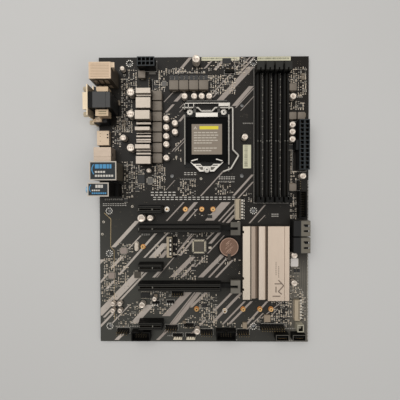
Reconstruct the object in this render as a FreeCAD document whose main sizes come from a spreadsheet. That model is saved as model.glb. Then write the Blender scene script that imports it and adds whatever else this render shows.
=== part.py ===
"""A 12 by 8.8 inch computer motherboard, as a parametric assembly of separate pieces.

Everything lies on one board. Places are given as a pair: u, the distance from the rear edge that
carries the ports, and v, the distance from the top edge that carries the processor power socket.
The row frame has +X from the rear edge to the front edge, +Y towards the top edge and +Z up. Its
origin is the middle of the rectangle made by the four outer standoff holes, on the underside.
"""
import FreeCAD, Part
import math
import os
import Sketcher
from FreeCAD import Vector

SIZES = {
    # the board and its holes
    "board_depth": 223.5,
    "board_width": 304.8,
    "board_thickness": 1.6,
    "rear_hole_inset": 10.16,
    "standoff_span_x": 154.94,
    "standoff_span_y": 124.46,
    "middle_hole_drop": 163.83,
    "lower_hole_drop": 209.55,
    "top_hole_drop": 6.35,
    "top_hole_inset": 33.02,
    "standoff_hole_radius": 1.98,
    "tail_height": 2.2,
    "tail_side": 0.9,
    # processor socket
    "socket_u": 115.2,
    "socket_v": 88.8,
    "cooler_hole_span": 75.0,
    "cooler_hole_radius": 2.0,
    "housing_side": 42.6,
    "housing_height": 3.6,
    "housing_floor": 1.2,
    "housing_wall": 2.3,
    "contact_field_side": 35.4,
    "contact_field_window": 13.0,
    "contact_height": 0.6,
    "sheet_thickness": 1.2,
    "running_gap": 0.3,
    "frame_length": 47.6,
    "frame_back": 41.2,
    "frame_front": 28.2,
    "frame_rail_height": 2.8,
    "backplate_margin": 9.0,
    "frame_screw_spread": 17.9,
    "frame_screw_back": 29.6,
    "nose_screw_front": 31.5,
    "screw_head_radius": 3.0,
    "screw_head_height": 1.5,
    "screw_shank_radius": 1.6,
    "nose_head_radius": 2.9,
    "nose_head_height": 1.6,
    "nose_neck_radius": 1.9,
    # lever and load plate, which turn about one line
    "pivot_back": 33.8,
    "pivot_height": 5.6,
    "wire_radius": 1.0,
    "wire_bend": 1.6,
    "crank_reach": 3.8,
    "crank_half": 5.4,
    "crank_slope": 3.6,
    "lever_left": 25.7,
    "lever_side": 27.4,
    "lever_straight": 44.1,
    "lever_jog": 6.1,
    "lever_return": 13.9,
    "lever_tip": 10.1,
    "plate_height": 6.2,
    "plate_half_width": 19.6,
    "plate_half_nose": 13.2,
    "plate_half_tip": 7.6,
    "plate_window": 34.0,
    "knuckle_inner": 11.2,
    "knuckle_width": 2.8,
    "knuckle_radius": 2.4,
    "tongue_half_width": 3.2,
    # protective cover of the socket
    "cover_length": 43.6,
    "cover_width": 46.4,
    "cover_thickness": 1.2,
    "cover_rim": 0.7,
    "label_side": 31.6,
    "label_thickness": 0.15,
    # memory slots
    "dimm_first_u": 169.8,
    "dimm_pitch": 9.35,
    "dimm_top_v": 12.4,
    "dimm_body_v": 20.6,
    "dimm_body_end_v": 148.9,
    "dimm_tower_length": 6.1,
    "dimm_width": 6.4,
    "dimm_body_height": 7.8,
    "dimm_step_height": 5.4,
    "dimm_ridge_width": 4.6,
    "dimm_tower_height": 15.4,
    "dimm_cheek_height": 11.0,
    "dimm_cheek": 1.2,
    "dimm_tower_width": 7.2,
    "dimm_groove": 1.5,
    "dimm_groove_depth": 5.8,
    "dimm_key_v": 90.8,
    "dimm_latch_width": 4.2,
    "dimm_latch_height": 15.8,
    "dimm_pivot_back": 3.8,
    "dimm_pivot_height": 3.8,
    "trunnion_radius": 0.8,
    # expansion slots
    "slot_start_u": 43.5,
    "first_slot_v": 161.7,
    "slot_pitch": 20.32,
    "slot_width": 7.6,
    "slot_height": 11.2,
    "slot_skirt": 0.4,
    "slot_groove": 1.8,
    "slot_groove_depth": 8.4,
    "slot_key_u": 14.3,
    "short_slot_length": 25.0,
    "long_slot_length": 86.4,
    "slot_tail_length": 16.9,
    "slot_tail_width": 4.6,
    "slot_tail_height": 4.4,
    "latch_pivot_from_end": 15.1,
    "latch_pivot_height": 2.6,
    "latch_span": 13.6,
    "latch_card_gap": 3.0,
    "latch_head_length": 10.0,
    "latch_head_bottom": 5.8,
    "latch_head_height": 3.2,
    # power stage
    "choke_side": 9.8,
    "choke_height": 7.0,
    "choke_corner": 0.9,
    "input_choke_side": 7.6,
    "input_choke_height": 5.0,
    "side_choke_from_socket": 56.8,
    "side_choke_v": 37.8,
    "side_choke_pitch": 10.9,
    "top_choke_from_socket": 39.3,
    "top_choke_v": 27.0,
    "top_choke_pitch": 10.4,
    "mosfet_height": 1.0,
    "heatsink_gap": 0.3,
    "heatsink_v": 38.9,
    "heatsink_depth": 14.6,
    "heatsink_length": 76.2,
    "heatsink_base": 6.0,
    "pad_thickness": 0.5,
    "fastener_radius": 1.5,
    "fastener_head_radius": 2.4,
    # chipset
    "chipset_side": 23.0,
    "chipset_height": 1.6,
    "chipset_sink_u": 152.6,
    "chipset_sink_v": 179.8,
    "chipset_sink_length": 48.4,
    "chipset_sink_width": 78.0,
    "chipset_sink_thickness": 6.4,
    "chipset_groove_depth": 3.2,
    # capacitors
    "large_can_radius": 4.0,
    "large_can_height": 11.0,
    "medium_can_radius": 3.15,
    "medium_can_height": 8.6,
    "small_can_radius": 2.4,
    "small_can_height": 7.0,
    "can_base_height": 0.8,
    "lever_can_drop": 2.4,
    # power sockets
    "power_pitch": 4.2,
    "power_row_pitch": 5.2,
    "power_wall": 1.0,
    "power_height": 12.8,
    "power_floor": 2.4,
    "cavity_side": 3.3,
    "power_pin_side": 1.1,
    "power_pin_height": 9.5,
    "main_power_inset": 13.6,
    "main_power_v": 69.6,
    "main_power_latch": 2.6,
    "cpu_power_u": 43.6,
    "cpu_power_v": 5.0,
    # pin headers
    "pin_pitch": 2.54,
    "pin_side": 0.64,
    "header_base_height": 2.5,
    "header_pin_height": 8.5,
    "shroud_wall": 1.0,
    "shroud_height": 9.0,
    # storage ports and card connectors
    "sata_edge_inset": 19.3,
    "sata_edge_v": 173.6,
    "sata_edge_pitch": 17.4,
    "sata_edge_length": 17.1,
    "sata_edge_width": 16.0,
    "sata_edge_height": 12.6,
    "sata_front_u": 187.2,
    "sata_front_inset": 11.4,
    "sata_front_pitch": 17.5,
    "sata_front_length": 13.6,
    "sata_front_width": 6.4,
    "sata_front_height": 8.9,
    "card_socket_length": 21.9,
    "card_socket_height": 4.2,
    "card_nut_radius": 2.1,
    "card_nut_bore": 0.9,
    "card_nut_height": 2.4,
    # battery
    "battery_u": 138.6,
    "battery_v": 202.1,
    "battery_radius": 10.0,
    "battery_thickness": 3.2,
    "battery_holder_wall": 0.8,
    "battery_holder_height": 3.4,
    # rear ports
    "port_face_u": -0.3,
    "usb_mouth_width": 12.6,
    "usb_mouth_height": 5.2,
    "usb_tongue": 1.9,
    "port_mouth_depth": 11.5,
    "ps2_v": 16.9,
    "ps2_width": 16.2,
    "ps2_depth": 21.6,
    "ps2_height": 27.4,
    "video_v": 54.5,
    "video_body_width": 36.0,
    "video_body_height": 14.6,
    "video_body_depth": 13.2,
    "vga_body_width": 15.4,
    "vga_body_depth": 17.4,
    "video_height": 30.6,
    "vga_axis_height": 25.0,
    "vga_screw_spacing": 24.99,
    "dvi_axis_height": 9.0,
    "dvi_screw_spacing": 33.3,
    "jackscrew_radius": 2.5,
    "jackscrew_length": 5.0,
    "nose_wall": 0.6,
    "insert_gap": 0.1,
    "hdmi_v": 79.2,
    "hdmi_width": 15.0,
    "hdmi_height": 5.9,
    "hdmi_depth": 12.6,
    "usb_v": 98.0,
    "usb_width": 13.1,
    "usb_height": 15.6,
    "usb_depth": 17.6,
    "lan_v": 114.2,
    "lan_width": 17.6,
    "lan_height": 27.4,
    "lan_depth": 25.6,
    "audio_v": 134.8,
    "audio_width": 13.4,
    "audio_height": 32.4,
    "audio_depth": 20.6,
    "audio_rear_depth": 23.8,
    "audio_rear_height": 12.0,
    "jack_ring_radius": 3.1,
    "jack_bore_radius": 1.8,
    "jack_ring_length": 2.4,
    "jack_row_pitch": 10.6,
}

# Places with more than one copy, each a (u, v) pair at the middle of the piece. A name that ends
# in a place of reference is measured from it: from the middle of the processor socket, from the
# top of the front edge, or from the rear end of the lower edge.
PLACES = {
    "large_can": [(46.8, 171.0)],
    "large_can_by_socket": [(-78.7, -48.4), (-78.8, -26.0), (-79.0, 8.9), (-10.9, -82.2)],
    "medium_can": [(27.8, 86.8), (55.6, 171.0), (46.6, 262.7)],
    "medium_can_by_socket": [(-23.1, -44.9), (-13.1, -44.9), (-5.3, -44.9), (2.6, -44.9),
                             (-42.4, -22.0), (-33.3, -17.1), (-42.4, -12.8), (-33.3, -7.9),
                             (-42.4, -3.5), (-42.4, 5.0), (-42.4, 19.1)],
    "medium_can_by_front": [(-19.2, 73.9), (-19.2, 81.3), (-19.2, 89.0), (-8.3, 127.3),
                            (-17.1, 210.2), (-17.1, 239.4), (-18.6, 44.6)],
    "medium_can_by_bottom": [(104.6, -14.3)],
    "small_can": [(26.8, 14.2), (54.0, 121.0), (59.5, 257.0), (15.2, 262.3), (22.7, 262.3),
                  (15.2, 269.5), (22.7, 269.5)],
    "input_choke": [(46.8, 19.9)],
    "input_choke_by_front": [(-17.9, 33.9), (-18.1, 63.9), (-9.1, 63.9), (-17.9, 139.0)],
    "card_nut": [(72.3, 162.1), (92.2, 162.1), (109.8, 162.1), (121.7, 162.1), (103.9, 269.5),
                 (134.2, 271.4), (153.9, 269.5), (171.8, 269.5), (183.7, 269.5), (46.6, 202.2)],
    "card_socket": [(148.0, 162.1), (75.2, 202.2)],
    "card_socket_by_front": [(-12.8, 269.5)],
}

# Fins across the power stage heatsink: start after its top end, thickness, height above its base.
FINS = [(0.0, 5.1, 10.4), (5.5, 1.6, 7.0), (9.4, 10.4, 10.4), (23.6, 8.5, 14.6), (34.1, 2.0, 8.4),
        (40.0, 3.3, 14.6), (44.5, 1.0, 7.0), (47.4, 1.6, 8.4), (50.9, 1.6, 8.4), (53.3, 1.2, 8.4),
        (57.4, 4.0, 14.6), (61.9, 1.4, 8.4), (65.0, 1.6, 8.4), (68.7, 7.5, 11.0)]

# Chips: middle u and v, side along u, side along v, height. The names are read as above.
CHIPS = {
    "board_controller": (106.8, 202.0, 13.4, 13.4, 1.6),
    "audio_codec": (12.7, 233.3, 6.6, 6.6, 1.0),
    "network_chip": (25.9, 206.6, 7.0, 6.4, 1.0),
    "clock_chip": (54.6, 131.5, 6.0, 6.0, 1.0),
    "power_controller_by_socket": (-45.2, -60.3, 5.0, 5.0, 1.0),
    "storage_chip_by_front": (-14.9, 219.1, 7.6, 8.6, 1.0),
    "port_chip": (40.5, 232.5, 7.0, 7.0, 1.0),
}

# Plain pin headers: corner u and v, pins along u, pins along v.
HEADERS = {
    "processor_fan": (134.6, 14.8, 4, 1),
    "rear_fan": (54.2, 24.4, 1, 4),
    "clear_jumper": (56.4, 261.3, 3, 1),
    "sound_jumper": (72.0, 260.4, 3, 1),
    "serial_port": (77.2, 249.4, 5, 2),
}

# The same along the front edge, u measured from it, and along the lower edge, v measured from it.
FRONT_HEADERS = {
    "case_fan": (-12.5, 131.6, 1, 4),
}
LOWER_HEADERS = {
    "front_audio": (18.6, -14.2, 5, 2),
    "trusted_module": (70.6, -17.8, 5, 2),
    "light_strip": (90.6, -19.6, 4, 1),
    "first_lower_fan": (78.6, -8.6, 4, 1),
    "second_lower_fan": (92.6, -8.6, 4, 1),
    "usb_a": (108.4, -13.2, 5, 2),
    "usb_b": (147.6, -13.2, 5, 2),
    "front_panel": (172.0, -18.8, 10, 2),
}

# Headers inside a wall: corner u and v, outer length along u, along v, pins along u, along v.
FRONT_SHROUDS = {
    "front_usb_header": (-12.1, 142.8, 7.4, 28.2, 2, 10),
}
LOWER_SHROUDS = {
    "serial_header": (35.4, -14.0, 19.8, 9.6, 5, 2),
    "usb_box_header": (124.8, -14.8, 20.6, 9.6, 5, 2),
    "pump_header": (209.5, -22.0, 6.5, 7.5, 2, 2),
}

# Sides of the small round pieces, of which there are many.
FACETS = 12


class Length:
    """A number together with the spreadsheet formula that it comes from."""

    def __init__(self, value, formula=None):
        self.value = float(value)
        self.formula = formula or "({!r})".format(self.value)

    def __float__(self):
        return self.value

    def joined(self, other, sign, value):
        return Length(value, "({} {} {})".format(self.formula, sign, length(other).formula))

    def __add__(self, other):
        return self.joined(other, "+", self.value + float(other))

    def __sub__(self, other):
        return self.joined(other, "-", self.value - float(other))

    def __mul__(self, other):
        return self.joined(other, "*", self.value * float(other))

    def __truediv__(self, other):
        return self.joined(other, "/", self.value / float(other))

    def __radd__(self, other):
        return length(other) + self

    def __rsub__(self, other):
        return length(other) - self

    def __rmul__(self, other):
        return length(other) * self

    def __neg__(self):
        return length(0) - self


def length(number):
    """The number as a Length, whatever it was."""
    return number if isinstance(number, Length) else Length(number)


class Sheet:
    """The spreadsheet of driving dimensions; each alias reads as a Length."""

    def __init__(self, document):
        self.cells = document.addObject("Spreadsheet::Sheet", "Sizes")
        self.row = 0
        self.lengths = {}

    def enter(self, alias, value):
        self.row += 1
        self.cells.set("A{}".format(self.row), alias)
        self.cells.set("B{}".format(self.row), repr(float(value)))
        self.cells.setAlias("B{}".format(self.row), alias)
        self.lengths[alias] = Length(value, "Sizes.{}".format(alias))

    def __getattr__(self, alias):
        return self.lengths[alias]

    def row_of(self, stem, index, fields):
        """The Lengths entered for one row of a table, such as one fin."""
        return [self.lengths["{}_{}_{}".format(stem, index, field)] for field in fields]


DOC = FreeCAD.newDocument("motherboard")
S = Sheet(DOC)
PIECES = []


def enter_sizes():
    """Fill the spreadsheet from the tables above."""
    for alias, value in SIZES.items():
        S.enter(alias, value)
    for stem, places in PLACES.items():
        enter_rows(stem, places, ("u", "v"))
    enter_rows("fin", FINS, ("start", "thick", "height"))
    for stem, row in CHIPS.items():
        enter_rows(stem, [row], ("u", "v", "length", "width", "height"))
    for table in (FRONT_SHROUDS, LOWER_SHROUDS):
        for stem, row in table.items():
            enter_rows(stem, [row[:4]], ("u", "v", "length", "width"))
    for table in (HEADERS, FRONT_HEADERS, LOWER_HEADERS):
        for stem, row in table.items():
            enter_rows(stem, [row[:2]], ("u", "v"))
    DOC.recompute()


def enter_rows(stem, rows, fields):
    for index, row in enumerate(rows, 1):
        for field, value in zip(fields, row):
            S.enter("{}_{}_{}".format(stem, index, field), value)


def from_reference(name, u, v):
    """Board place of a u and v measured from the reference that the name ends in."""
    if name.endswith("_by_socket"):
        return S.socket_u + u, S.socket_v + v
    if name.endswith("_by_front"):
        return S.board_depth + u, v
    if name.endswith("_by_bottom"):
        return u, S.board_width + v
    return u, v


def places(stem):
    """The (u, v) pairs of a table of places, whatever they are measured from."""
    spots = []
    for name, rows in PLACES.items():
        if name.split("_by_")[0] == stem:
            spots += [from_reference(name, *S.row_of(name, index, ("u", "v")))
                      for index in range(1, len(rows) + 1)]
    return spots


# --- shapes ---------------------------------------------------------------------------------

def x_of(u):
    """Row frame X of a distance from the rear edge."""
    return u - (S.rear_hole_inset + S.standoff_span_x / 2)


def y_of(v):
    """Row frame Y of a distance from the top edge."""
    return (S.middle_hole_drop + S.standoff_span_y / 2) - v


def bind(item, **sizes):
    """Tie properties of an object to spreadsheet formulas."""
    for name, size in sizes.items():
        item.setExpression(name, length(size).formula)
    return item


def stand(item, x, y, z):
    """Tie an object's place to spreadsheet formulas."""
    for name, size in (("x", x), ("y", y), ("z", z)):
        item.setExpression("Placement.Base.{}".format(name), length(size).formula)
    return item


def block(u, v, z, along_u, along_v, height):
    """A box whose rear top corner is at u, v and whose underside is at z."""
    item = bind(DOC.addObject("Part::Box", "Block"), Length=along_u, Width=along_v, Height=height)
    return stand(item, x_of(u), y_of(v + along_v), z)


def centred(u, v, z, along_u, along_v, height):
    """A box standing on the level z with its middle at u, v."""
    return block(u - along_u / 2, v - along_v / 2, z, along_u, along_v, height)


def round_bar(radius, reach, sides):
    """A cylinder, or a prism of that many sides where the piece is small and repeats."""
    if sides:
        item = bind(DOC.addObject("Part::Prism", "Bar"), Circumradius=radius, Height=reach)
        item.Polygon = sides
        return item
    return bind(DOC.addObject("Part::Cylinder", "Bar"), Radius=radius, Height=reach)


def post(u, v, z, radius, height, sides=0):
    """An upright round bar."""
    return stand(round_bar(radius, height, sides), x_of(u), y_of(v), z)


def rod(u, v, z, radius, reach, across=False, sides=0):
    """A lying round bar that runs from u to larger u, or across the board to larger v."""
    item = round_bar(radius, reach, sides)
    axis = Vector(1, 0, 0) if across else Vector(0, 1, 0)
    item.Placement = FreeCAD.Placement(Vector(), FreeCAD.Rotation(axis, 90))
    return stand(item, x_of(u), y_of(v), z)


def common(*items):
    """What two solids share."""
    item = DOC.addObject("Part::MultiCommon", "Common")
    item.Shapes = list(items)
    return item


def chamfered(u, v, z, side, height, corner):
    """A square block with its four upright edges cut off, as a box inside a turned square."""
    box = centred(u, v, z, side, side, height)
    return common(box, post(u, v, z, side - corner, height, 4))


def cut(base, *tools):
    """The base with every tool taken out of it."""
    item = DOC.addObject("Part::Cut", "Cut")
    item.Base = base
    item.Tool = tools[0] if len(tools) == 1 else together(*tools)
    return item


def fused(*items):
    """One solid made of several that touch."""
    if len(items) == 1:
        return items[0]
    item = DOC.addObject("Part::MultiFuse", "Fused")
    item.Shapes = list(items)
    item.Refine = True
    return item


def together(*items):
    """Separate solids kept in one object."""
    item = DOC.addObject("Part::Compound", "Together")
    item.Links = list(items)
    return item


def piece(label, *items):
    """Name a finished sub-part; its label is also its file's name."""
    item = items[0] if len(items) == 1 else together(*items)
    item.Label = label
    PIECES.append(item)
    return item


# --- sketches -------------------------------------------------------------------------------

def new_body(name):
    return DOC.addObject("PartDesign::Body", name)


def new_sketch(body, name, level, plane="XY_Plane"):
    """A sketch on one of the body's own planes, raised to a level."""
    sketch = body.newObject("Sketcher::SketchObject", name)
    origin = [item for item in body.Origin.OriginFeatures if item.Role == plane][0]
    sketch.AttachmentSupport = [(origin, "")]
    sketch.MapMode = "FlatFace"
    sketch.setExpression("AttachmentOffset.Base.z", length(level).formula)
    return sketch


def fix(sketch, kind, elements, size):
    """Add one driving constraint and tie it to a formula."""
    index = sketch.addConstraint(Sketcher.Constraint(kind, *elements, float(size)))
    sketch.setExpression("Constraints[{}]".format(index), length(size).formula)


def draw_outline(sketch, corners):
    """A closed outline of straight lines through corners given as x and y."""
    first = sketch.GeometryCount
    ends = corners[1:] + corners[:1]
    for start, end in zip(corners, ends):
        line = [Vector(float(point[0]), float(point[1]), 0) for point in (start, end)]
        sketch.addGeometry(Part.LineSegment(*line), False)
    for index in range(len(corners)):
        after = first + (index + 1) % len(corners)
        sketch.addConstraint(Sketcher.Constraint("Coincident", first + index, 2, after, 1))
    for index, (x, y) in enumerate(corners):
        fix(sketch, "DistanceX", (-1, 1, first + index, 1), x)
        fix(sketch, "DistanceY", (-1, 1, first + index, 1), y)


def draw_circle(sketch, x, y, radius):
    index = sketch.addGeometry(Part.Circle(Vector(float(x), float(y), 0), Vector(0, 0, 1),
                                           float(radius)), False)
    fix(sketch, "Radius", (index,), radius)
    fix(sketch, "DistanceX", (-1, 1, index, 3), x)
    fix(sketch, "DistanceY", (-1, 1, index, 3), y)


def pad(body, sketch, height):
    feature = body.newObject("PartDesign::Pad", "Pad")
    feature.Profile = sketch
    return bind(feature, Length=height)


def pocket(body, sketch, depth):
    """A pocket cut downwards from its sketch."""
    feature = body.newObject("PartDesign::Pocket", "Pocket")
    feature.Profile = sketch
    return bind(feature, Length=depth)


def slit(body, sketch):
    """A cut that runs right through the body, both ways from its sketch."""
    feature = body.newObject("PartDesign::Pocket", "Slit")
    feature.Profile = sketch
    feature.Type = "ThroughAll"
    feature.Midplane = True
    return feature


def rectangle(u, v, along_u, along_v):
    """Corners of a rectangle whose rear top corner is at u, v."""
    left, right = x_of(u), x_of(u + along_u)
    low, high = y_of(v + along_v), y_of(v)
    return [(left, low), (right, low), (right, high), (left, high)]


# --- the board ------------------------------------------------------------------------------

def board_holes():
    """Middle and radius of every hole that a case or a cooler uses."""
    rear = S.rear_hole_inset
    front = S.rear_hole_inset + S.standoff_span_x
    bottom = S.middle_hole_drop + S.standoff_span_y
    standoffs = [(rear, S.middle_hole_drop), (front, S.middle_hole_drop), (rear, bottom),
                 (front, bottom), (rear, S.lower_hole_drop), (S.top_hole_inset, S.top_hole_drop),
                 (front, S.top_hole_drop)]
    half = S.cooler_hole_span / 2
    cooler = [(S.socket_u + side * half, S.socket_v + end * half)
              for side in (-1, 1) for end in (-1, 1)]
    return ([(u, v, S.standoff_hole_radius) for u, v in standoffs]
            + [(u, v, S.cooler_hole_radius) for u, v in cooler])


def circuit_board():
    body = new_body("BoardBody")
    outline = new_sketch(body, "BoardOutline", 0)
    draw_outline(outline, rectangle(length(0), length(0), S.board_depth, S.board_width))
    pad(body, outline, S.board_thickness)
    drilling = new_sketch(body, "BoardHoles", S.board_thickness)
    for u, v, radius in board_holes():
        draw_circle(drilling, x_of(u), y_of(v), radius)
    pocket(body, drilling, S.board_thickness)
    thick = S.board_thickness
    hidden = [post(u, v, 0, S.screw_shank_radius + S.running_gap, thick, FACETS)
              for u, v in frame_screw_places() + [nose_screw_place()]]
    hidden += [post(u, v, 0, S.fastener_radius + S.running_gap / 2, thick, FACETS)
               for u, v in fastener_places()]
    piece("circuit_board", cut(body, *hidden))


def solder_tails():
    """Ends of the legs of sockets, headers and ports, standing under the board."""
    spots = power_cavities(*main_power_corner(), 2, 12)
    spots += power_cavities(S.cpu_power_u, S.cpu_power_v, 4, 2)
    for u, v, columns, rows in header_grids() + shroud_grids():
        spots += [pin_place(u, v, 0, 0), pin_place(u, v, columns - 1, rows - 1)]
    for v, width in ((S.ps2_v, S.ps2_width), (S.usb_v, S.usb_width), (S.lan_v, S.lan_width),
                     (S.audio_v, S.audio_width), (S.hdmi_v, S.hdmi_width)):
        inset = 2 * S.tail_side
        spots += [(S.port_face_u + S.hdmi_depth - inset, v + inset),
                  (S.port_face_u + S.hdmi_depth - inset, v + width - inset)]
    piece("solder_tails", *[centred(u, v, -S.tail_height, S.tail_side, S.tail_side,
                                    S.tail_height) for u, v in spots])


# --- processor socket -----------------------------------------------------------------------

def frame_screw_places():
    return [(S.socket_u + side * S.frame_screw_spread, S.socket_v - S.frame_screw_back)
            for side in (-1, 1)]


def nose_screw_place():
    return (S.socket_u, S.socket_v + S.nose_screw_front)


def socket_housing():
    """Plastic tray that holds the contacts, with finger notches in two walls."""
    top = S.board_thickness
    base = centred(S.socket_u, S.socket_v, top, S.housing_side, S.housing_side, S.housing_height)
    inner = S.housing_side - 2 * S.housing_wall
    well = centred(S.socket_u, S.socket_v, top + S.housing_floor, inner, inner,
                   S.housing_height)
    notch = centred(S.socket_u, S.socket_v, top + S.housing_height / 2,
                    S.housing_side + 2 * S.housing_wall, inner / 4, S.housing_height)
    piece("socket_housing", cut(base, fused(well, notch)))
    floor = top + S.housing_floor
    field = centred(S.socket_u, S.socket_v, floor, S.contact_field_side, S.contact_field_side,
                    S.contact_height)
    window = centred(S.socket_u, S.socket_v, floor, S.contact_field_window,
                     S.contact_field_window, S.contact_height)
    piece("socket_contacts", cut(field, window))


def socket_frame():
    """Stamped steel frame with upright rails, rear wall, lever ears and a hook tab."""
    top = S.board_thickness
    left = S.socket_u - S.frame_length / 2
    back = S.socket_v - S.frame_back
    depth = S.frame_back + S.frame_front
    upper = top + S.sheet_thickness
    base = block(left, back, top, S.frame_length, depth, S.sheet_thickness)
    opening = S.housing_side + 2 * S.running_gap
    window = centred(S.socket_u, S.socket_v, top, opening, opening, S.sheet_thickness)
    screws = [post(u, v, top, S.screw_shank_radius + S.running_gap, S.sheet_thickness, FACETS)
              for u, v in frame_screw_places()]
    right = S.socket_u + S.frame_length / 2 - S.sheet_thickness
    pivot_v = S.socket_v - S.pivot_back
    rail_v = pivot_v + 3 * S.knuckle_radius
    rails = [block(u, rail_v, upper, S.sheet_thickness, back + depth - rail_v - S.knuckle_radius,
                   S.frame_rail_height) for u in (left, right)]
    rear = block(left + 2 * S.sheet_thickness, back, upper,
                 S.frame_length - 4 * S.sheet_thickness, S.sheet_thickness,
                 S.frame_rail_height + S.sheet_thickness)
    ear_height = S.pivot_height + S.knuckle_radius - upper
    ears = [block(u, pivot_v - S.knuckle_radius, upper, S.sheet_thickness,
                  2 * S.knuckle_radius, ear_height) for u in (left, right)]
    tab = block(right, back + depth, top, S.sheet_thickness, 2 * S.knuckle_radius,
                S.pivot_height - S.wire_radius - S.running_gap - top)
    holes = rod(left - S.sheet_thickness, pivot_v, S.pivot_height,
                S.wire_radius + S.running_gap / 2, S.frame_length + 2 * S.sheet_thickness)
    rear_window = block(S.socket_u - S.knuckle_inner, back + 2 * S.sheet_thickness, top,
                        2 * S.knuckle_inner,
                        S.frame_back - opening / 2 - 4 * S.sheet_thickness, S.sheet_thickness)
    body = fused(base, rear, tab, *rails, *ears)
    piece("socket_frame", cut(body, window, rear_window, holes, *screws))


def socket_backplate():
    """Steel stiffener under the board, with a window below the contacts."""
    side = S.housing_side + 2 * S.backplate_margin
    depth = S.nose_screw_front + S.frame_screw_back + 2 * S.backplate_margin
    middle_v = S.socket_v + (S.nose_screw_front - S.frame_screw_back) / 2
    half_side, half_depth = side / 2, depth / 2
    slope = S.backplate_margin
    x, y = x_of(S.socket_u), y_of(middle_v)
    body = new_body("BackplateBody")
    outline = new_sketch(body, "BackplateOutline", -S.tail_height)
    draw_outline(outline, [
        (x - half_side + slope, y - half_depth), (x + half_side - slope, y - half_depth),
        (x + half_side, y - half_depth + slope), (x + half_side, y + half_depth - slope),
        (x + half_side - slope, y + half_depth), (x - half_side + slope, y + half_depth),
        (x - half_side, y + half_depth - slope), (x - half_side, y - half_depth + slope)])
    pad(body, outline, S.tail_height)
    window = new_sketch(body, "BackplateWindow", 0)
    opening = S.contact_field_side / 2
    draw_outline(window, rectangle(S.socket_u - opening / 2, S.socket_v - opening / 2,
                                   opening, opening))
    pocket(body, window, S.tail_height)
    threads = [post(u, v, -S.tail_height, S.screw_shank_radius, S.tail_height, FACETS)
               for u, v in frame_screw_places() + [nose_screw_place()]]
    piece("socket_backplate", cut(body, *threads))


def socket_screws():
    """Two low-headed screws that hold the frame, and the shouldered screw at the nose."""
    upper = S.board_thickness + S.sheet_thickness
    reach = upper + S.tail_height
    screws = []
    for u, v in frame_screw_places():
        head = post(u, v, upper, S.screw_head_radius, S.screw_head_height, 2 * FACETS)
        shank = post(u, v, -S.tail_height, S.screw_shank_radius, reach, FACETS)
        socket = post(u, v, upper + S.screw_head_height / 2, S.screw_shank_radius,
                      S.screw_head_height, 6)
        screws.append(cut(fused(head, shank), socket))
    u, v = nose_screw_place()
    seat = S.plate_height + S.sheet_thickness + S.running_gap
    collar = post(u, v, S.board_thickness, S.nose_head_radius, S.sheet_thickness, FACETS)
    shank = post(u, v, -S.tail_height, S.screw_shank_radius, reach, FACETS)
    neck = post(u, v, S.board_thickness, S.nose_neck_radius, seat - S.board_thickness, FACETS)
    head = post(u, v, seat, S.nose_head_radius, S.nose_head_height, 2 * FACETS)
    socket = post(u, v, seat + S.nose_head_height / 2, S.screw_shank_radius,
                  S.nose_head_height, 6)
    screws.append(cut(fused(collar, shank, neck, head), socket))
    piece("socket_screws", *screws)


def bent_wire(corners, radius, bend):
    """A wire through level corners, each one turned by an arc of the bend radius."""
    edges = []
    start = corners[0]
    for before, corner, after in zip(corners, corners[1:], corners[2:]):
        inward = (before - corner).normalize()
        outward = (after - corner).normalize()
        half_turn = (math.pi - inward.getAngle(outward)) / 2
        trim = bend * math.tan(half_turn)
        entry = corner + inward * trim
        leave = corner + outward * trim
        middle = corner + (inward + outward).normalize() * (bend / math.cos(half_turn) - bend)
        edges.append(Part.makeLine(start, entry))
        edges.append(Part.Arc(entry, middle, leave).toShape())
        start = leave
    edges.append(Part.makeLine(start, corners[-1]))
    path = Part.Wire(edges)
    heading = (corners[1] - corners[0]).normalize()
    beside = heading.cross(Vector(0, 0, 1))
    turns = [2 * math.pi * (step + 0.5) / FACETS for step in range(FACETS + 1)]
    ring = [corners[0] + beside * (radius * math.cos(turn))
            + Vector(0, 0, radius * math.sin(turn)) for turn in turns]
    return path.makePipeShell([Part.makePolygon(ring)], True, True)


def socket_lever():
    """Bent wire: a cranked pivot across the rear of the socket, then the long side arm."""
    u, v = S.socket_u, S.socket_v - S.pivot_back
    slope = S.crank_half + S.crank_slope
    side = u + S.lever_side
    jog_v = v + S.lever_straight
    return_v = jog_v + S.lever_jog + S.lever_return
    corners = [(u - S.lever_left, v), (u - slope, v), (u - S.crank_half, v + S.crank_reach),
               (u + S.crank_half, v + S.crank_reach), (u + slope, v), (side, v), (side, jog_v),
               (side + S.lever_jog, jog_v + S.lever_jog), (side - S.lever_jog / 3, return_v),
               (side - S.lever_tip, return_v + S.lever_jog / 2)]
    points = [Vector(float(x_of(cu)), float(y_of(cv)), float(S.pivot_height))
              for cu, cv in corners]
    item = DOC.addObject("Part::Feature", "LeverWire")
    item.Shape = bent_wire(points, float(S.wire_radius), float(S.wire_bend))
    piece("socket_lever", item)


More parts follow.
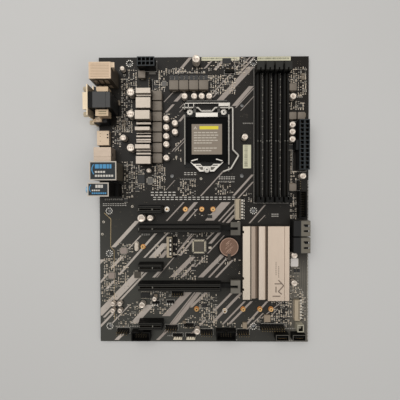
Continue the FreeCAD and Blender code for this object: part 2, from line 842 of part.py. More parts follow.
def load_plate():
    """Stamped plate with a window, two hinge knuckles, a sunk tongue and a notched nose."""
    u, v = S.socket_u, S.socket_v
    pivot_v = v - S.pivot_back
    rear_v = pivot_v + S.crank_reach + S.wire_radius + S.running_gap * 2
    shoulder_v = v - S.frame_screw_back + S.screw_head_radius * 2
    hinge_half = S.knuckle_inner + S.knuckle_width
    taper_v = v + S.housing_side / 2
    nose_v = v + S.nose_screw_front - S.nose_neck_radius * 2
    tip_v = v + S.nose_screw_front + S.nose_neck_radius
    halves = [(hinge_half, rear_v), (hinge_half, shoulder_v), (S.plate_half_width, shoulder_v
              + S.screw_head_radius), (S.plate_half_width, taper_v), (S.plate_half_nose, nose_v),
              (S.plate_half_tip, tip_v)]
    corners = [(x_of(u + half), y_of(at)) for half, at in halves]
    corners += [(x_of(u - half), y_of(at)) for half, at in reversed(halves)]
    body = new_body("PlateBody")
    outline = new_sketch(body, "PlateOutline", S.plate_height)
    draw_outline(outline, corners)
    pad(body, outline, S.sheet_thickness)
    window = new_sketch(body, "PlateWindow", S.plate_height + S.sheet_thickness)
    draw_outline(window, rectangle(u - S.plate_window / 2, v - S.plate_window / 2,
                                   S.plate_window, S.plate_window))
    pocket(body, window, S.sheet_thickness)
    tongue_z = S.board_thickness + S.sheet_thickness + S.running_gap
    tongue_width = 2 * S.tongue_half_width
    riser = block(u - S.tongue_half_width, rear_v, tongue_z, tongue_width, S.sheet_thickness,
                  S.plate_height + S.sheet_thickness - tongue_z)
    tongue = block(u - S.tongue_half_width, pivot_v + S.knuckle_radius, tongue_z, tongue_width,
                   rear_v - pivot_v - S.knuckle_radius + S.sheet_thickness, S.sheet_thickness)
    solids = [body, riser, tongue]
    bores = []
    for start in (u - hinge_half, u + S.knuckle_inner):
        solids.append(rod(start, pivot_v, S.pivot_height, S.knuckle_radius, S.knuckle_width))
        solids.append(block(start, pivot_v, S.plate_height, S.knuckle_width,
                            rear_v - pivot_v + S.sheet_thickness, S.sheet_thickness))
        bores.append(rod(start, pivot_v, S.pivot_height, S.wire_radius + S.running_gap,
                         S.knuckle_width))
    screw_u, screw_v = nose_screw_place()
    notch_radius = S.nose_head_radius + S.running_gap
    notch = post(screw_u, screw_v, S.plate_height, notch_radius, S.sheet_thickness)
    mouth = block(screw_u - notch_radius, screw_v, S.plate_height, 2 * notch_radius,
                  tip_v - screw_v + S.sheet_thickness, S.sheet_thickness)
    piece("load_plate", cut(fused(*solids), fused(notch, mouth), *bores))


def socket_cover():
    """Moulded cover that snaps into the plate's window, with a rim and a label on top."""
    u, v = S.socket_u, S.socket_v
    level = S.plate_height + S.sheet_thickness + S.running_gap
    lid = centred(u, v, level, S.cover_length, S.cover_width,
                  S.cover_thickness + S.cover_rim)
    recess = centred(u, v, level + S.cover_thickness, S.cover_length - 2 * S.cover_thickness,
                     S.cover_width - 2 * S.cover_thickness, S.cover_rim)
    plug_side = S.plate_window - 2 * S.running_gap
    plug = centred(u, v, S.plate_height, plug_side, plug_side, level - S.plate_height)
    hollow = centred(u, v, S.plate_height, plug_side - 2 * S.cover_thickness,
                     plug_side - 2 * S.cover_thickness, level - S.plate_height)
    piece("socket_cover", cut(fused(lid, plug), recess, hollow))
    piece("cover_label", centred(u, v, level + S.cover_thickness, S.label_side, S.label_side,
                                 S.label_thickness))


# --- memory slots ---------------------------------------------------------------------------

def dimm_slot(number, u):
    """A slot body with its card groove, a fixed end tower and the cheeks of the latch."""
    top = S.board_thickness
    body_length = S.dimm_body_end_v - S.dimm_body_v
    middle_v = S.dimm_body_v + body_length / 2
    body = centred(u, middle_v, top, S.dimm_width, body_length, S.dimm_step_height)
    ridge = centred(u, middle_v, top, S.dimm_ridge_width, body_length, S.dimm_body_height)
    tower = centred(u, S.dimm_body_end_v + S.dimm_tower_length / 2, top, S.dimm_tower_width,
                    S.dimm_tower_length, S.dimm_tower_height)
    cheek_length = S.dimm_body_v - S.dimm_top_v
    cheeks = [block(u + side * S.dimm_tower_width / 2 - (1 + side) / 2 * S.dimm_cheek,
                    S.dimm_top_v, top, S.dimm_cheek, cheek_length, S.dimm_cheek_height)
              for side in (-1, 1)]
    heel = centred(u, S.dimm_body_v - S.dimm_cheek / 2, top, S.dimm_tower_width, S.dimm_cheek,
                   S.dimm_body_height / 4)
    groove_z = top + S.dimm_body_height - S.dimm_groove_depth
    groove_end = S.dimm_body_end_v + S.dimm_tower_length / 2
    groove = block(u - S.dimm_groove / 2, S.dimm_body_v, groove_z, S.dimm_groove,
                   groove_end - S.dimm_body_v, S.dimm_tower_height)
    key = centred(u, S.dimm_key_v, groove_z, S.dimm_groove, S.dimm_groove,
                  S.dimm_groove_depth - S.dimm_groove)
    pivot_v = S.dimm_top_v + S.dimm_pivot_back
    bore = rod(u - S.dimm_tower_width, pivot_v, top + S.dimm_pivot_height,
               S.trunnion_radius + S.running_gap / 2, 2 * S.dimm_tower_width)
    shell = cut(fused(body, ridge, tower, heel, *cheeks), groove, bore)
    piece("dimm_slot_{}".format(number), fused(shell, key))


def dimm_latch(number, u):
    """A rocker between the cheeks: trunnion, stem, finger head and the toe under the card."""
    top = S.board_thickness
    pivot_v = S.dimm_top_v + S.dimm_pivot_back
    pivot_z = top + S.dimm_pivot_height
    head_z = top + S.dimm_cheek_height + 4 * S.running_gap
    hub_radius = S.dimm_pivot_height - 4 * S.running_gap
    hub = rod(u - S.dimm_latch_width / 2, pivot_v, pivot_z, hub_radius, S.dimm_latch_width,
              sides=FACETS)
    pin_length = S.dimm_tower_width - 2 * S.running_gap
    pin = rod(u - pin_length / 2, pivot_v, pivot_z, S.trunnion_radius, pin_length)
    stem = block(u - S.dimm_latch_width / 2, pivot_v - hub_radius * 0.8, pivot_z,
                 S.dimm_latch_width, hub_radius * 1.6, head_z - pivot_z)
    head = block(u - S.dimm_tower_width / 2, S.dimm_top_v - S.running_gap, head_z,
                 S.dimm_tower_width, S.dimm_body_v - S.dimm_top_v,
                 top + S.dimm_latch_height - head_z)
    notch = block(u - S.dimm_groove / 2, pivot_v + S.dimm_pivot_back / 2, head_z, S.dimm_groove,
                  S.dimm_pivot_back * 2, S.dimm_latch_height)
    piece("dimm_latch_{}".format(number), cut(fused(hub, pin, stem, head), notch))


def memory_slots():
    for number in range(1, 5):
        u = S.dimm_first_u + (number - 1) * S.dimm_pitch
        dimm_slot(number, u)
        dimm_latch(number, u)


# --- expansion slots ------------------------------------------------------------------------

def slot_body(v, slot_length):
    """A slot with its groove, less the web that keys the card."""
    top = S.board_thickness
    core = block(S.slot_start_u, v - S.slot_width / 2, top, slot_length, S.slot_width,
                 S.slot_height)
    skirt_width = S.slot_width + 2 * S.slot_skirt
    skirt = block(S.slot_start_u - S.slot_skirt, v - skirt_width / 2, top,
                  slot_length + S.slot_skirt, skirt_width, S.slot_height / 2)
    body = fused(core, skirt)
    groove_z = top + S.slot_height - S.slot_groove_depth
    end_wall = S.slot_groove
    before_key = S.slot_key_u - end_wall
    after_key = slot_length - S.slot_key_u - 2 * end_wall
    grooves = [block(S.slot_start_u + start, v - S.slot_groove / 2, groove_z, reach,
                     S.slot_groove, S.slot_groove_depth)
               for start, reach in ((end_wall, before_key), (S.slot_key_u + end_wall, after_key))]
    return body, grooves


def short_slot(step):
    body, grooves = slot_body(S.first_slot_v + step * S.slot_pitch, S.short_slot_length)
    return cut(body, *grooves)


def long_slot(number, step):
    """A sixteen-lane slot, its tail beam, and the latch that turns on the beam."""
    top = S.board_thickness
    v = S.first_slot_v + step * S.slot_pitch
    body, grooves = slot_body(v, S.long_slot_length)
    end_u = S.slot_start_u + S.long_slot_length
    tail = block(end_u, v - S.slot_tail_width / 2, top, S.slot_tail_length, S.slot_tail_width,
                 S.slot_tail_height)
    pivot_u = end_u + S.latch_pivot_from_end
    pivot_z = top + S.latch_pivot_height
    bore = rod(pivot_u, v - S.slot_tail_width, pivot_z, S.trunnion_radius + S.running_gap / 2,
               2 * S.slot_tail_width, across=True)
    piece("pcie_x16_slot_{}".format(number), cut(fused(body, tail), bore, *grooves))
    plate = (S.latch_span - S.slot_tail_width) / 6
    inner = S.slot_tail_width / 2 + S.running_gap
    head_z = top + S.latch_head_bottom
    hub_radius = S.latch_pivot_height - 2 * S.running_gap
    solids = []
    for start in (v + inner, v - inner - plate):
        solids.append(rod(pivot_u, start, pivot_z, hub_radius, plate, True, FACETS))
        solids.append(block(pivot_u - hub_radius, start, pivot_z, 2 * hub_radius, plate,
                            head_z - pivot_z))
    pin_half = inner + plate / 2
    solids.append(rod(pivot_u, v - pin_half, pivot_z, S.trunnion_radius, 2 * pin_half,
                      across=True))
    head_u = end_u + S.latch_head_length
    head = block(head_u, v - S.latch_span / 2, head_z, S.latch_head_length, S.latch_span,
                 S.latch_head_height)
    gap = block(head_u, v - S.latch_card_gap / 2, head_z, S.latch_head_length * 0.75,
                S.latch_card_gap, S.latch_head_height)
    piece("pcie_latch_{}".format(number), cut(fused(head, *solids), gap))


def expansion_slots():
    piece("pcie_x1_slots", *[short_slot(step) for step in (0, 3, 6)])
    for number, step in ((1, 1), (2, 4)):
        long_slot(number, step)


# --- power stage ----------------------------------------------------------------------------

def side_choke_u():
    """Rear side of the column of chokes beside the heatsink."""
    return S.socket_u - S.side_choke_from_socket


def heatsink_u():
    """Rear side of the power stage heatsink, which stands just behind the chokes."""
    return side_choke_u() - S.heatsink_gap - S.heatsink_depth


def power_stage():
    """Chokes, switching transistors and the thermal pads of both heatsinks."""
    top = S.board_thickness
    side, corner = S.choke_side, S.choke_corner
    first_u, first_v = side_choke_u() + side / 2, S.side_choke_v + side / 2
    chokes = [chamfered(first_u, first_v + index * S.side_choke_pitch, top, side,
                        S.choke_height, corner) for index in range(7)]
    row_u = S.socket_u - S.top_choke_from_socket
    row_v = S.top_choke_v + side / 2
    chokes += [chamfered(row_u + side / 2 + index * S.top_choke_pitch, row_v, top, side,
                         S.choke_height, corner) for index in range(4)]
    chokes += [chamfered(u, v, top, S.input_choke_side, S.input_choke_height, corner)
               for u, v in places("input_choke")]
    piece("chokes", *chokes)
    chip = side / 2
    column = [centred(heatsink_u() + S.heatsink_depth * share, first_v
                      + index * S.side_choke_pitch, top, chip, chip, S.mosfet_height)
              for index in range(7) for share in (0.3, 0.7)]
    row = [centred(row_u + side * share + index * S.top_choke_pitch, S.top_choke_v - chip, top,
                   chip * 0.8, chip, S.mosfet_height)
           for index in range(4) for share in (0.25, 0.75)]
    piece("mosfets", *column, *row)
    pad_z = top + S.mosfet_height
    pads = [centred(heatsink_u() + S.heatsink_depth / 2, first_v + index * S.side_choke_pitch,
                    pad_z, S.heatsink_depth - chip, chip, S.pad_thickness)
            for index in range(7)]
    pads.append(centred(*chipset_middle(), top + S.chipset_height, S.chipset_side,
                        S.chipset_side, S.pad_thickness))
    piece("thermal_pads", *pads)


def power_heatsink():
    """An extruded block with a row of cross fins of different heights."""
    level = S.board_thickness + power_sink_gap()
    u, depth = heatsink_u(), S.heatsink_depth
    base = block(u, S.heatsink_v, level, depth, S.heatsink_length, S.heatsink_base)
    fins = []
    for index in range(1, len(FINS) + 1):
        start, thick, height = S.row_of("fin", index, ("start", "thick", "height"))
        fins.append(block(u, S.heatsink_v + start, level + S.heatsink_base, depth, thick,
                          height))
    relief = block(u, S.heatsink_v, level, depth * 0.12, S.heatsink_length, S.heatsink_base / 2)
    piece("power_heatsink", cut(fused(base, *fins), relief))


def fastener_places():
    """Where screws come up through the board into the two heatsinks."""
    middle_u = heatsink_u() + S.heatsink_depth / 2
    first_v = S.side_choke_v + (S.choke_side + S.side_choke_pitch) / 2
    spots = [(middle_u, first_v), (middle_u, first_v + 5 * S.side_choke_pitch)]
    u, v = chipset_middle()
    offset = S.chipset_side * 0.8
    return spots + [(u - offset, v + offset), (u + offset, v - offset)]


def heatsink_fasteners():
    """Screws with round heads under the board, seated against each heatsink's underside."""
    heads = []
    for index, (u, v) in enumerate(fastener_places()):
        level = S.board_thickness + (power_sink_gap() if index < 2 else chipset_sink_gap())
        shank = post(u, v, -S.fastener_radius, S.fastener_radius, level + S.fastener_radius,
                     FACETS)
        heads.append(fused(shank, post(u, v, -S.fastener_radius, S.fastener_head_radius,
                                       S.fastener_radius, FACETS)))
    piece("heatsink_fasteners", *heads)


def power_sink_gap():
    """Height of the power stage heatsink above the board."""
    return S.mosfet_height + S.pad_thickness


def chipset_sink_gap():
    """Height of the chipset heatsink above the board."""
    return S.chipset_height + S.pad_thickness


# --- chipset --------------------------------------------------------------------------------

def chipset_middle():
    """Middle of the chipset, which is also the middle of its heatsink."""
    return (S.chipset_sink_u + S.chipset_sink_length / 2,
            S.chipset_sink_v + S.chipset_sink_width / 2)


def chipset():
    """The chipset package and its slab heatsink with sloped steps, a groove and notched ends."""
    top = S.board_thickness
    u, v = S.chipset_sink_u, S.chipset_sink_v
    long_side, width = S.chipset_sink_length, S.chipset_sink_width
    piece("chipset_package", centred(*chipset_middle(), top, S.chipset_side, S.chipset_side,
                                     S.chipset_height))
    level = top + chipset_sink_gap()
    step = width / 60
    body = new_body("ChipsetSinkBody")
    outline = new_sketch(body, "ChipsetSinkOutline", level)
    share = [(0, 0), (1, 0), (1, 1), (0.53, 1)]
    corners = [(x_of(u + long_side * a), y_of(v + width * b)) for a, b in share]
    corners += [(x_of(u + long_side * a), y_of(v + width - step * b))
                for a, b in ((0.53, 1), (0.33, 1), (0.33, 2), (0.19, 2), (0.19, 1), (0, 1))]
    for at in (0.865, 0.715, 0.09):
        near, far = v + width * at, v + width * at - 2 * step
        corners += [(x_of(u), y_of(near)), (x_of(u + step), y_of(near)),
                    (x_of(u + step), y_of(far)), (x_of(u), y_of(far))]
    draw_outline(outline, corners)
    pad(body, outline, S.chipset_sink_thickness)
    upper = level + S.chipset_sink_thickness
    grooves = new_sketch(body, "ChipsetSinkGrooves", 0, "XZ_Plane")
    floor = upper - S.chipset_groove_depth
    for start, end in ((0.157, 0.185), (0.265, 0.345), (0.475, 0.54)):
        near, far = x_of(u + long_side * start), x_of(u + long_side * end)
        slope = [(near, upper), (far, upper), (far, floor)]
        draw_outline(grooves, slope if start > 0.2 else slope + [(near, floor)])
    slit(body, grooves)
    ledge = new_sketch(body, "ChipsetSinkLedge", upper)
    draw_outline(ledge, rectangle(u + long_side * 0.89, v - step, long_side * 0.012,
                                  width + 2 * step))
    pocket(body, ledge, S.chipset_groove_depth / 4)
    piece("chipset_heatsink", body)


# --- capacitors -----------------------------------------------------------------------------

def can(u, v, radius, height):
    """A metal can on a square plastic foot with cut corners."""
    top = S.board_thickness
    foot = chamfered(u, v, top, radius * 1.9, S.can_base_height, radius * 0.3)
    wall = post(u, v, top + S.can_base_height, radius, height - S.can_base_height, FACETS)
    return fused(foot, wall)


def can_beside_lever():
    """The can that stands midway between the lever's arm and the first memory slot."""
    arm = S.socket_u + S.lever_side + S.wire_radius
    slot = S.dimm_first_u - S.dimm_tower_width / 2
    return (arm + slot) / 2, S.socket_v - S.lever_can_drop


def capacitors():
    sizes = {"large_can": (S.large_can_radius, S.large_can_height),
             "medium_can": (S.medium_can_radius, S.medium_can_height),
             "small_can": (S.small_can_radius, S.small_can_height)}
    for stem, (radius, height) in sizes.items():
        name = stem.replace("can", "capacitors")
        spots = places(stem) + ([can_beside_lever()] if stem == "medium_can" else [])
        piece(name, *[can(u, v, radius, height) for u, v in spots])


# --- power sockets --------------------------------------------------------------------------

def power_cavities(u, v, columns, rows):
    """Middles of the cavities of a power socket whose corner is at u, v."""
    along_u = S.power_row_pitch if columns == 2 else S.power_pitch
    along_v = S.power_pitch
    edge = S.power_wall + S.cavity_side / 2
    return [(u + edge + column * along_u, v + edge + row * along_v)
            for column in range(columns) for row in range(rows)]


def power_socket(stem, u, v, columns, rows, latch):
    """A walled power socket with one square cavity and one pin for each wire."""
    top = S.board_thickness
    spots = power_cavities(u, v, columns, rows)
    edge = S.power_wall + S.cavity_side / 2
    along_u = spots[-1][0] + edge - u
    along_v = spots[-1][1] + edge - v
    body = block(u, v, top, along_u, along_v, S.power_height)
    solids = [body]
    if latch:
        solids.append(block(u - S.main_power_latch, v + along_v * 0.4, top, S.main_power_latch,
                            along_v * 0.2, S.power_height * 0.8))
    wells = [centred(at_u, at_v, top + S.power_floor, S.cavity_side, S.cavity_side,
                     S.power_height) for at_u, at_v in spots]
    piece("{}_power_socket".format(stem), cut(fused(*solids), *wells))
    return [centred(at_u, at_v, top + S.power_floor, S.power_pin_side, S.power_pin_side,
                    S.power_pin_height - S.power_floor) for at_u, at_v in spots]


def main_power_corner():
    """Rear top corner of the main power socket, which stands by the front edge."""
    return S.board_depth - S.main_power_inset, S.main_power_v


def power_sockets():
    pins = power_socket("main", *main_power_corner(), 2, 12, True)
    pins += power_socket("processor", S.cpu_power_u, S.cpu_power_v, 4, 2, False)
    piece("power_pins", *pins)


# --- headers --------------------------------------------------------------------------------

def header_grids():
    """Corner u and v of each plain header on the board, and its pins along u and v."""
    grids = []
    for table, edge in ((HEADERS, ""), (FRONT_HEADERS, "_by_front"),
                        (LOWER_HEADERS, "_by_bottom")):
        for stem, (_, _, columns, rows) in table.items():
            u, v = from_reference(edge, *S.row_of(stem, 1, ("u", "v")))
            grids.append((u, v, int(columns), int(rows)))
    return grids


def shrouds():
    """Corner u and v, outer lengths and pins along u and v of each header in a wall."""
    rows = []
    for table, edge in ((FRONT_SHROUDS, "_by_front"), (LOWER_SHROUDS, "_by_bottom")):
        for stem, row in table.items():
            u, v, along_u, along_v = S.row_of(stem, 1, ("u", "v", "length", "width"))
            rows.append((*from_reference(edge, u, v), along_u, along_v, int(row[4]),
                         int(row[5])))
    return rows


def shroud_grids():
    """Corner u and v of the pins inside each wall, which stand in its middle."""
    return [(u + (along_u - columns * S.pin_pitch) / 2, v + (along_v - rows * S.pin_pitch) / 2,
             columns, rows) for u, v, along_u, along_v, columns, rows in shrouds()]


def pin_place(u, v, column, row):
    """Middle of one pin; u, v is the corner of the first pin's own cell."""
    half = S.pin_pitch / 2
    return u + half + column * S.pin_pitch, v + half + row * S.pin_pitch


def pin_grid(u, v, columns, rows, level, height):
    return [centred(*pin_place(u, v, column, row), level, S.pin_side, S.pin_side, height)
            for column in range(columns) for row in range(rows)]


def headers():
    top = S.board_thickness
    bases, pins = [], []
    for u, v, columns, rows in header_grids():
        bases.append(block(u, v, top, columns * S.pin_pitch, rows * S.pin_pitch,
                           S.header_base_height))
        pins += pin_grid(u, v, columns, rows, top + S.header_base_height, S.header_pin_height
                         - S.header_base_height)
    piece("header_bases", *bases)
    boxes = []
    wall = S.shroud_wall
    for u, v, along_u, along_v, columns, rows in shrouds():
        outer = block(u, v, top, along_u, along_v, S.shroud_height)
        well = block(u + wall, v + wall, top + wall, along_u - 2 * wall, along_v - 2 * wall,
                     S.shroud_height)
        notch = block(u + along_u / 2 - wall * 2, v - wall, top + S.shroud_height / 2, wall * 4,
                      wall * 3, S.shroud_height)
        side_notch = block(u - wall, v + along_v / 2 - wall * 2, top + S.shroud_height / 2,
                           wall * 3, wall * 4, S.shroud_height)
        boxes.append(cut(outer, fused(well, side_notch if rows > columns else notch)))
    for grid in shroud_grids():
        pins += pin_grid(*grid, top + wall, S.shroud_height * 0.8 - wall)
    piece("box_headers", *boxes)
    piece("header_pins", *pins)


# --- storage and cards ----------------------------------------------------------------------

def storage_ports():
    """Two stacked pairs that face the front edge, and two that stand by the lower edge.

    Their contact blades are handed back, to join the tongues of the rear ports in one node.
    """
    top = S.board_thickness
    shells, blades = [], []
    wall = S.shroud_wall
    edge_u = S.board_depth - S.sata_edge_inset
    for index in range(2):
        v = S.sata_edge_v + index * S.sata_edge_pitch
        outer = block(edge_u, v, top, S.sata_edge_length, S.sata_edge_width,
                      S.sata_edge_height)
        mouths = []
        mouth_height = S.sata_edge_height / 2 - 1.5 * wall
        reach = S.sata_edge_length / 2
        mouth_u = edge_u + S.sata_edge_length - reach
        for level in range(2):
            z = top + wall + level * (mouth_height + wall)
            mouths.append(block(mouth_u, v + wall, z, reach, S.sata_edge_width - 2 * wall,
                                mouth_height))
            blades.append(block(mouth_u, v + 2 * wall, z + mouth_height * 0.35, reach * 0.85,
                                S.sata_edge_width - 4 * wall, mouth_height * 0.3))
        windows = [block(mouth_u + reach * 0.3, v + S.sata_edge_width * share, top
                         + S.sata_edge_height - wall, reach * 0.6, wall * 2, wall)
                   for share in (0.28, 0.6)]
        shells.append(cut(outer, fused(*mouths, *windows)))
    piece("sata_edge_ports", *shells)
    fronts = []
    front_v = S.board_width - S.sata_front_inset
    for index in range(2):
        u = S.sata_front_u + index * S.sata_front_pitch
        outer = block(u, front_v, top, S.sata_front_length, S.sata_front_width,
                      S.sata_front_height)
        well = block(u + wall, front_v + wall, top + wall, S.sata_front_length - 2 * wall,
                     S.sata_front_width - 2 * wall, S.sata_front_height)
        fronts.append(cut(outer, well))
        blades.append(block(u + 2 * wall, front_v + S.sata_front_width * 0.4, top + wall,
                            S.sata_front_length - 4 * wall, S.sata_front_width * 0.2,
                            S.sata_front_height * 0.75))
    piece("sata_upright_ports", *fronts)
    return blades


def card_sockets():
    """Two edge sockets for storage cards, one for a wireless card, and their nuts."""
    top = S.board_thickness
    reach, height = S.card_socket_length, S.card_socket_height
    depth = height * 1.3
    slots = []
    for u, v in places("card_socket"):
        body = centred(u, v, top, depth, reach, height)
        mouth = block(u - depth / 2, v - reach * 0.45, top + height * 0.4, depth * 0.6,
                      reach * 0.9, height * 0.3)
        slots.append(cut(body, mouth))
    piece("card_sockets", *slots)
    nuts = [cut(post(u, v, top, S.card_nut_radius, S.card_nut_height, FACETS),
                post(u, v, top + S.card_nut_height / 4, S.card_nut_bore, S.card_nut_height,
                     FACETS // 2))
            for u, v in places("card_nut")]
    piece("card_nuts", *nuts)


def chips():
    top = S.board_thickness
    packages = []
    for stem in CHIPS:
        u, v, along_u, along_v, height = S.row_of(stem, 1, ("u", "v", "length", "width",
                                                            "height"))
        packages.append(centred(*from_reference(stem, u, v), top, along_u, along_v, height))
    piece("chip_packages", *packages)


def battery():
    """A lying coin cell in a round tray, with the contact clip at its lower side."""
    top = S.board_thickness
    u, v = S.battery_u, S.battery_v
    wall = S.battery_holder_wall
    inner = S.battery_radius + S.running_gap
    tray = cut(post(u, v, top, inner + wall, S.battery_holder_height, 3 * FACETS),
               post(u, v, top + wall, inner, S.battery_holder_height, 3 * FACETS))
    gap = block(u - inner / 3, v + inner / 2, top + wall, inner * 2 / 3, inner, inner)
    piece("battery_holder", cut(tray, gap))
    cell_z = top + wall
    body = new_body("CellBody")
    profile = new_sketch(body, "CellProfile", 0, "XZ_Plane")
    step = S.battery_thickness / 8
    draw_outline(profile, [(length(0), length(0)), (S.battery_radius - 2 * step, length(0)),
                           (S.battery_radius - 2 * step, 2 * step),
                           (S.battery_radius, 2 * step), (S.battery_radius, S.battery_thickness),
                           (length(0), S.battery_thickness)])
    turned = body.newObject("PartDesign::Revolution", "CellTurned")
    turned.Profile = profile
    turned.ReferenceAxis = (profile, ["V_Axis"])
    turned.Angle = 360
    stand(body, x_of(u), y_of(v), cell_z)
    piece("coin_cell", body)
    clip_z = cell_z + S.battery_thickness
    arm = block(u - wall * 2, v + S.battery_radius * 0.7, clip_z, wall * 4, S.battery_radius
                * 0.6, wall / 2)
    leg = block(u - wall * 2, v + S.battery_radius * 1.3, top, wall * 4, wall,
                clip_z + wall / 2 - top)
    piece("battery_clip", fused(arm, leg))


# --- rear ports -----------------------------------------------------------------------------

def usb_mouth(v, z):
    """The space of one plug in a shell, starting before the port face."""
    lead = S.running_gap
    return block(S.port_face_u - lead, v, z, S.port_mouth_depth + lead, S.usb_mouth_width,
                 S.usb_mouth_height)


def usb_tongue(v, z):
    """The contact tongue on the upper side of the plug's space."""
    return block(S.port_face_u + S.usb_tongue, v + S.usb_tongue / 2, z + S.usb_mouth_height
                 - S.usb_tongue * 1.5, S.port_mouth_depth - S.usb_tongue,
                 S.usb_mouth_width - S.usb_tongue, S.usb_tongue)


def port_shell(label, v, width, depth, height, *mouths):
    shell = block(S.port_face_u, v, S.board_thickness, depth, width, height)
    piece(label, cut(shell, fused(*mouths)))


def usb_ports(blades):
    """Shells of the stacked ports, with the tongues of every plug space in one node."""
    floor = S.board_thickness + S.shroud_wall
    step = S.usb_mouth_height + 2 * S.shroud_wall
    tongues = list(blades)
    stacks = (("ps2_usb_shell", S.ps2_v, S.ps2_width, S.ps2_depth, S.ps2_height),
              ("usb_shell", S.usb_v, S.usb_width + S.shroud_wall, S.usb_depth, S.usb_height))
    for label, v, width, depth, height in stacks:
        inset = (width - S.usb_mouth_width) / 2
        mouths = [usb_mouth(v + inset, floor + level * step) for level in range(2)]
        tongues += [usb_tongue(v + inset, floor + level * step) for level in range(2)]
        if label == "ps2_usb_shell":
            round_z = floor + 2 * step + S.usb_mouth_height
            mouths.append(rod(S.port_face_u - S.running_gap, v + width / 2, round_z,
                              S.usb_mouth_height, S.port_mouth_depth))
            tongues.append(rod(S.port_face_u + S.usb_tongue, v + width / 2, round_z,
                               S.usb_mouth_height - S.shroud_wall / 2,
                               S.port_mouth_depth - S.usb_tongue - S.running_gap))
        port_shell(label, v, width, depth, height, *mouths)
    inset = (S.lan_width - S.usb_mouth_width) / 2
    mouths = [usb_mouth(S.lan_v + inset, floor + level * step) for level in range(2)]
    tongues += [usb_tongue(S.lan_v + inset, floor + level * step) for level in range(2)]
    jack_z = floor + 2 * step - S.shroud_wall / 2
    jack = block(S.port_face_u - S.running_gap, S.lan_v + inset, jack_z, S.port_mouth_depth
                 + S.running_gap, S.usb_mouth_width, S.lan_height - 2 * step - S.shroud_wall)
    notch_height = S.lan_height - 2 * step - S.shroud_wall
    notch = centred(S.port_face_u + S.port_mouth_depth / 4, S.lan_v + S.lan_width / 2,
                    jack_z + notch_height, S.port_mouth_depth / 2 + 2 * S.running_gap,
                    S.usb_mouth_height, S.shroud_wall / 3)
    port_shell("lan_usb_shell", S.lan_v, S.lan_width, S.lan_depth, S.lan_height, *mouths,
               fused(jack, notch))
    tray = S.hdmi_height - 2 * S.usb_tongue / 2
    mouth = block(S.port_face_u - S.running_gap, S.hdmi_v + S.shroud_wall / 2,
                  S.board_thickness + S.shroud_wall / 2, S.port_mouth_depth - S.running_gap,
                  S.hdmi_width - S.shroud_wall, tray)
    port_shell("hdmi_shell", S.hdmi_v, S.hdmi_width, S.hdmi_depth, S.hdmi_height, mouth)
    tongues.append(block(S.port_face_u + S.usb_tongue, S.hdmi_v + S.usb_tongue,
                         S.board_thickness + S.hdmi_height / 2, S.port_mouth_depth
                         - 2 * S.usb_tongue, S.hdmi_width - 2 * S.usb_tongue, S.usb_tongue / 2))
    piece("port_tongues", *tongues)


def d_prism(v, axis_z, width, height, start, reach, inward):
    """A level bar of D section, wider above than below, its section drawn in by a distance."""
    half, rise = width / 2 - inward, height / 2 - inward
    lower = width / 2 - height / 6 - inward
    corners = [(half, rise), (lower, -rise), (-lower, -rise), (-half, rise)]
    points = [Vector(float(x_of(start)), float(y_of(v) + y), float(axis_z + z))
              for y, z in corners]
    item = DOC.addObject("Part::Feature", "DPrism")
    item.Shape = Part.Face(Part.makePolygon(points + points[:1])).extrude(
        Vector(float(reach), 0, 0))
    return item


def video_ports():
    """The stacked pair of video ports: moulded bodies, steel flange, noses and jackscrews.

    Each nose is a thin D-shaped shell round a plastic insert that comes out of the body.
    """
    top = S.board_thickness
    face = S.port_face_u
    reach, sheet = S.jackscrew_length, S.sheet_thickness
    nose_u = face - sheet - reach
    lower = block(face, S.video_v - S.video_body_width / 2, top, S.video_body_depth,
                  S.video_body_width, S.video_body_height)
    upper = block(face, S.video_v - S.vga_body_width / 2, top, S.vga_body_depth,
                  S.vga_body_width, S.video_height)
    noses = ((S.vga_axis_height, S.vga_body_width + sheet),
             (S.dvi_axis_height, S.vga_screw_spacing))
    tall = S.vga_body_width / 2
    flange_width = S.vga_screw_spacing + 2 * S.jackscrew_radius
    flange = block(face - sheet, S.video_v - flange_width / 2, top, sheet, flange_width,
                   S.video_height)
    skirt_width = S.dvi_screw_spacing + 2 * S.jackscrew_radius
    skirt = block(face - sheet, S.video_v - skirt_width / 2, top, sheet, skirt_width,
                  S.video_body_height)
    shells, inserts, hollows = [], [], []
    for level, width in noses:
        shells.append(d_prism(S.video_v, level, width, tall, nose_u, reach, 0))
        hollows.append(d_prism(S.video_v, level, width, tall, nose_u, reach + sheet,
                               S.nose_wall))
        inserts.append(d_prism(S.video_v, level, width, tall, nose_u + S.nose_wall,
                               reach + sheet, S.nose_wall + S.insert_gap))
    piece("video_port_body", fused(lower, upper, *inserts))
    piece("video_port_flange", cut(fused(flange, skirt, *shells), *hollows))
    screws = []
    for spacing, level in ((S.vga_screw_spacing, S.vga_axis_height),
                           (S.dvi_screw_spacing, S.dvi_axis_height)):
        for side in (-1, 1):
            nut = DOC.addObject("Part::Prism", "Jackscrew")
            nut.Polygon = 6
            bind(nut, Circumradius=S.jackscrew_radius, Height=reach)
            nut.Placement = FreeCAD.Placement(Vector(), FreeCAD.Rotation(Vector(0, 1, 0), 90))
            stand(nut, x_of(nose_u), y_of(S.video_v + side * spacing / 2), level)
            screws.append(nut)
    piece("video_jackscrews", *screws)


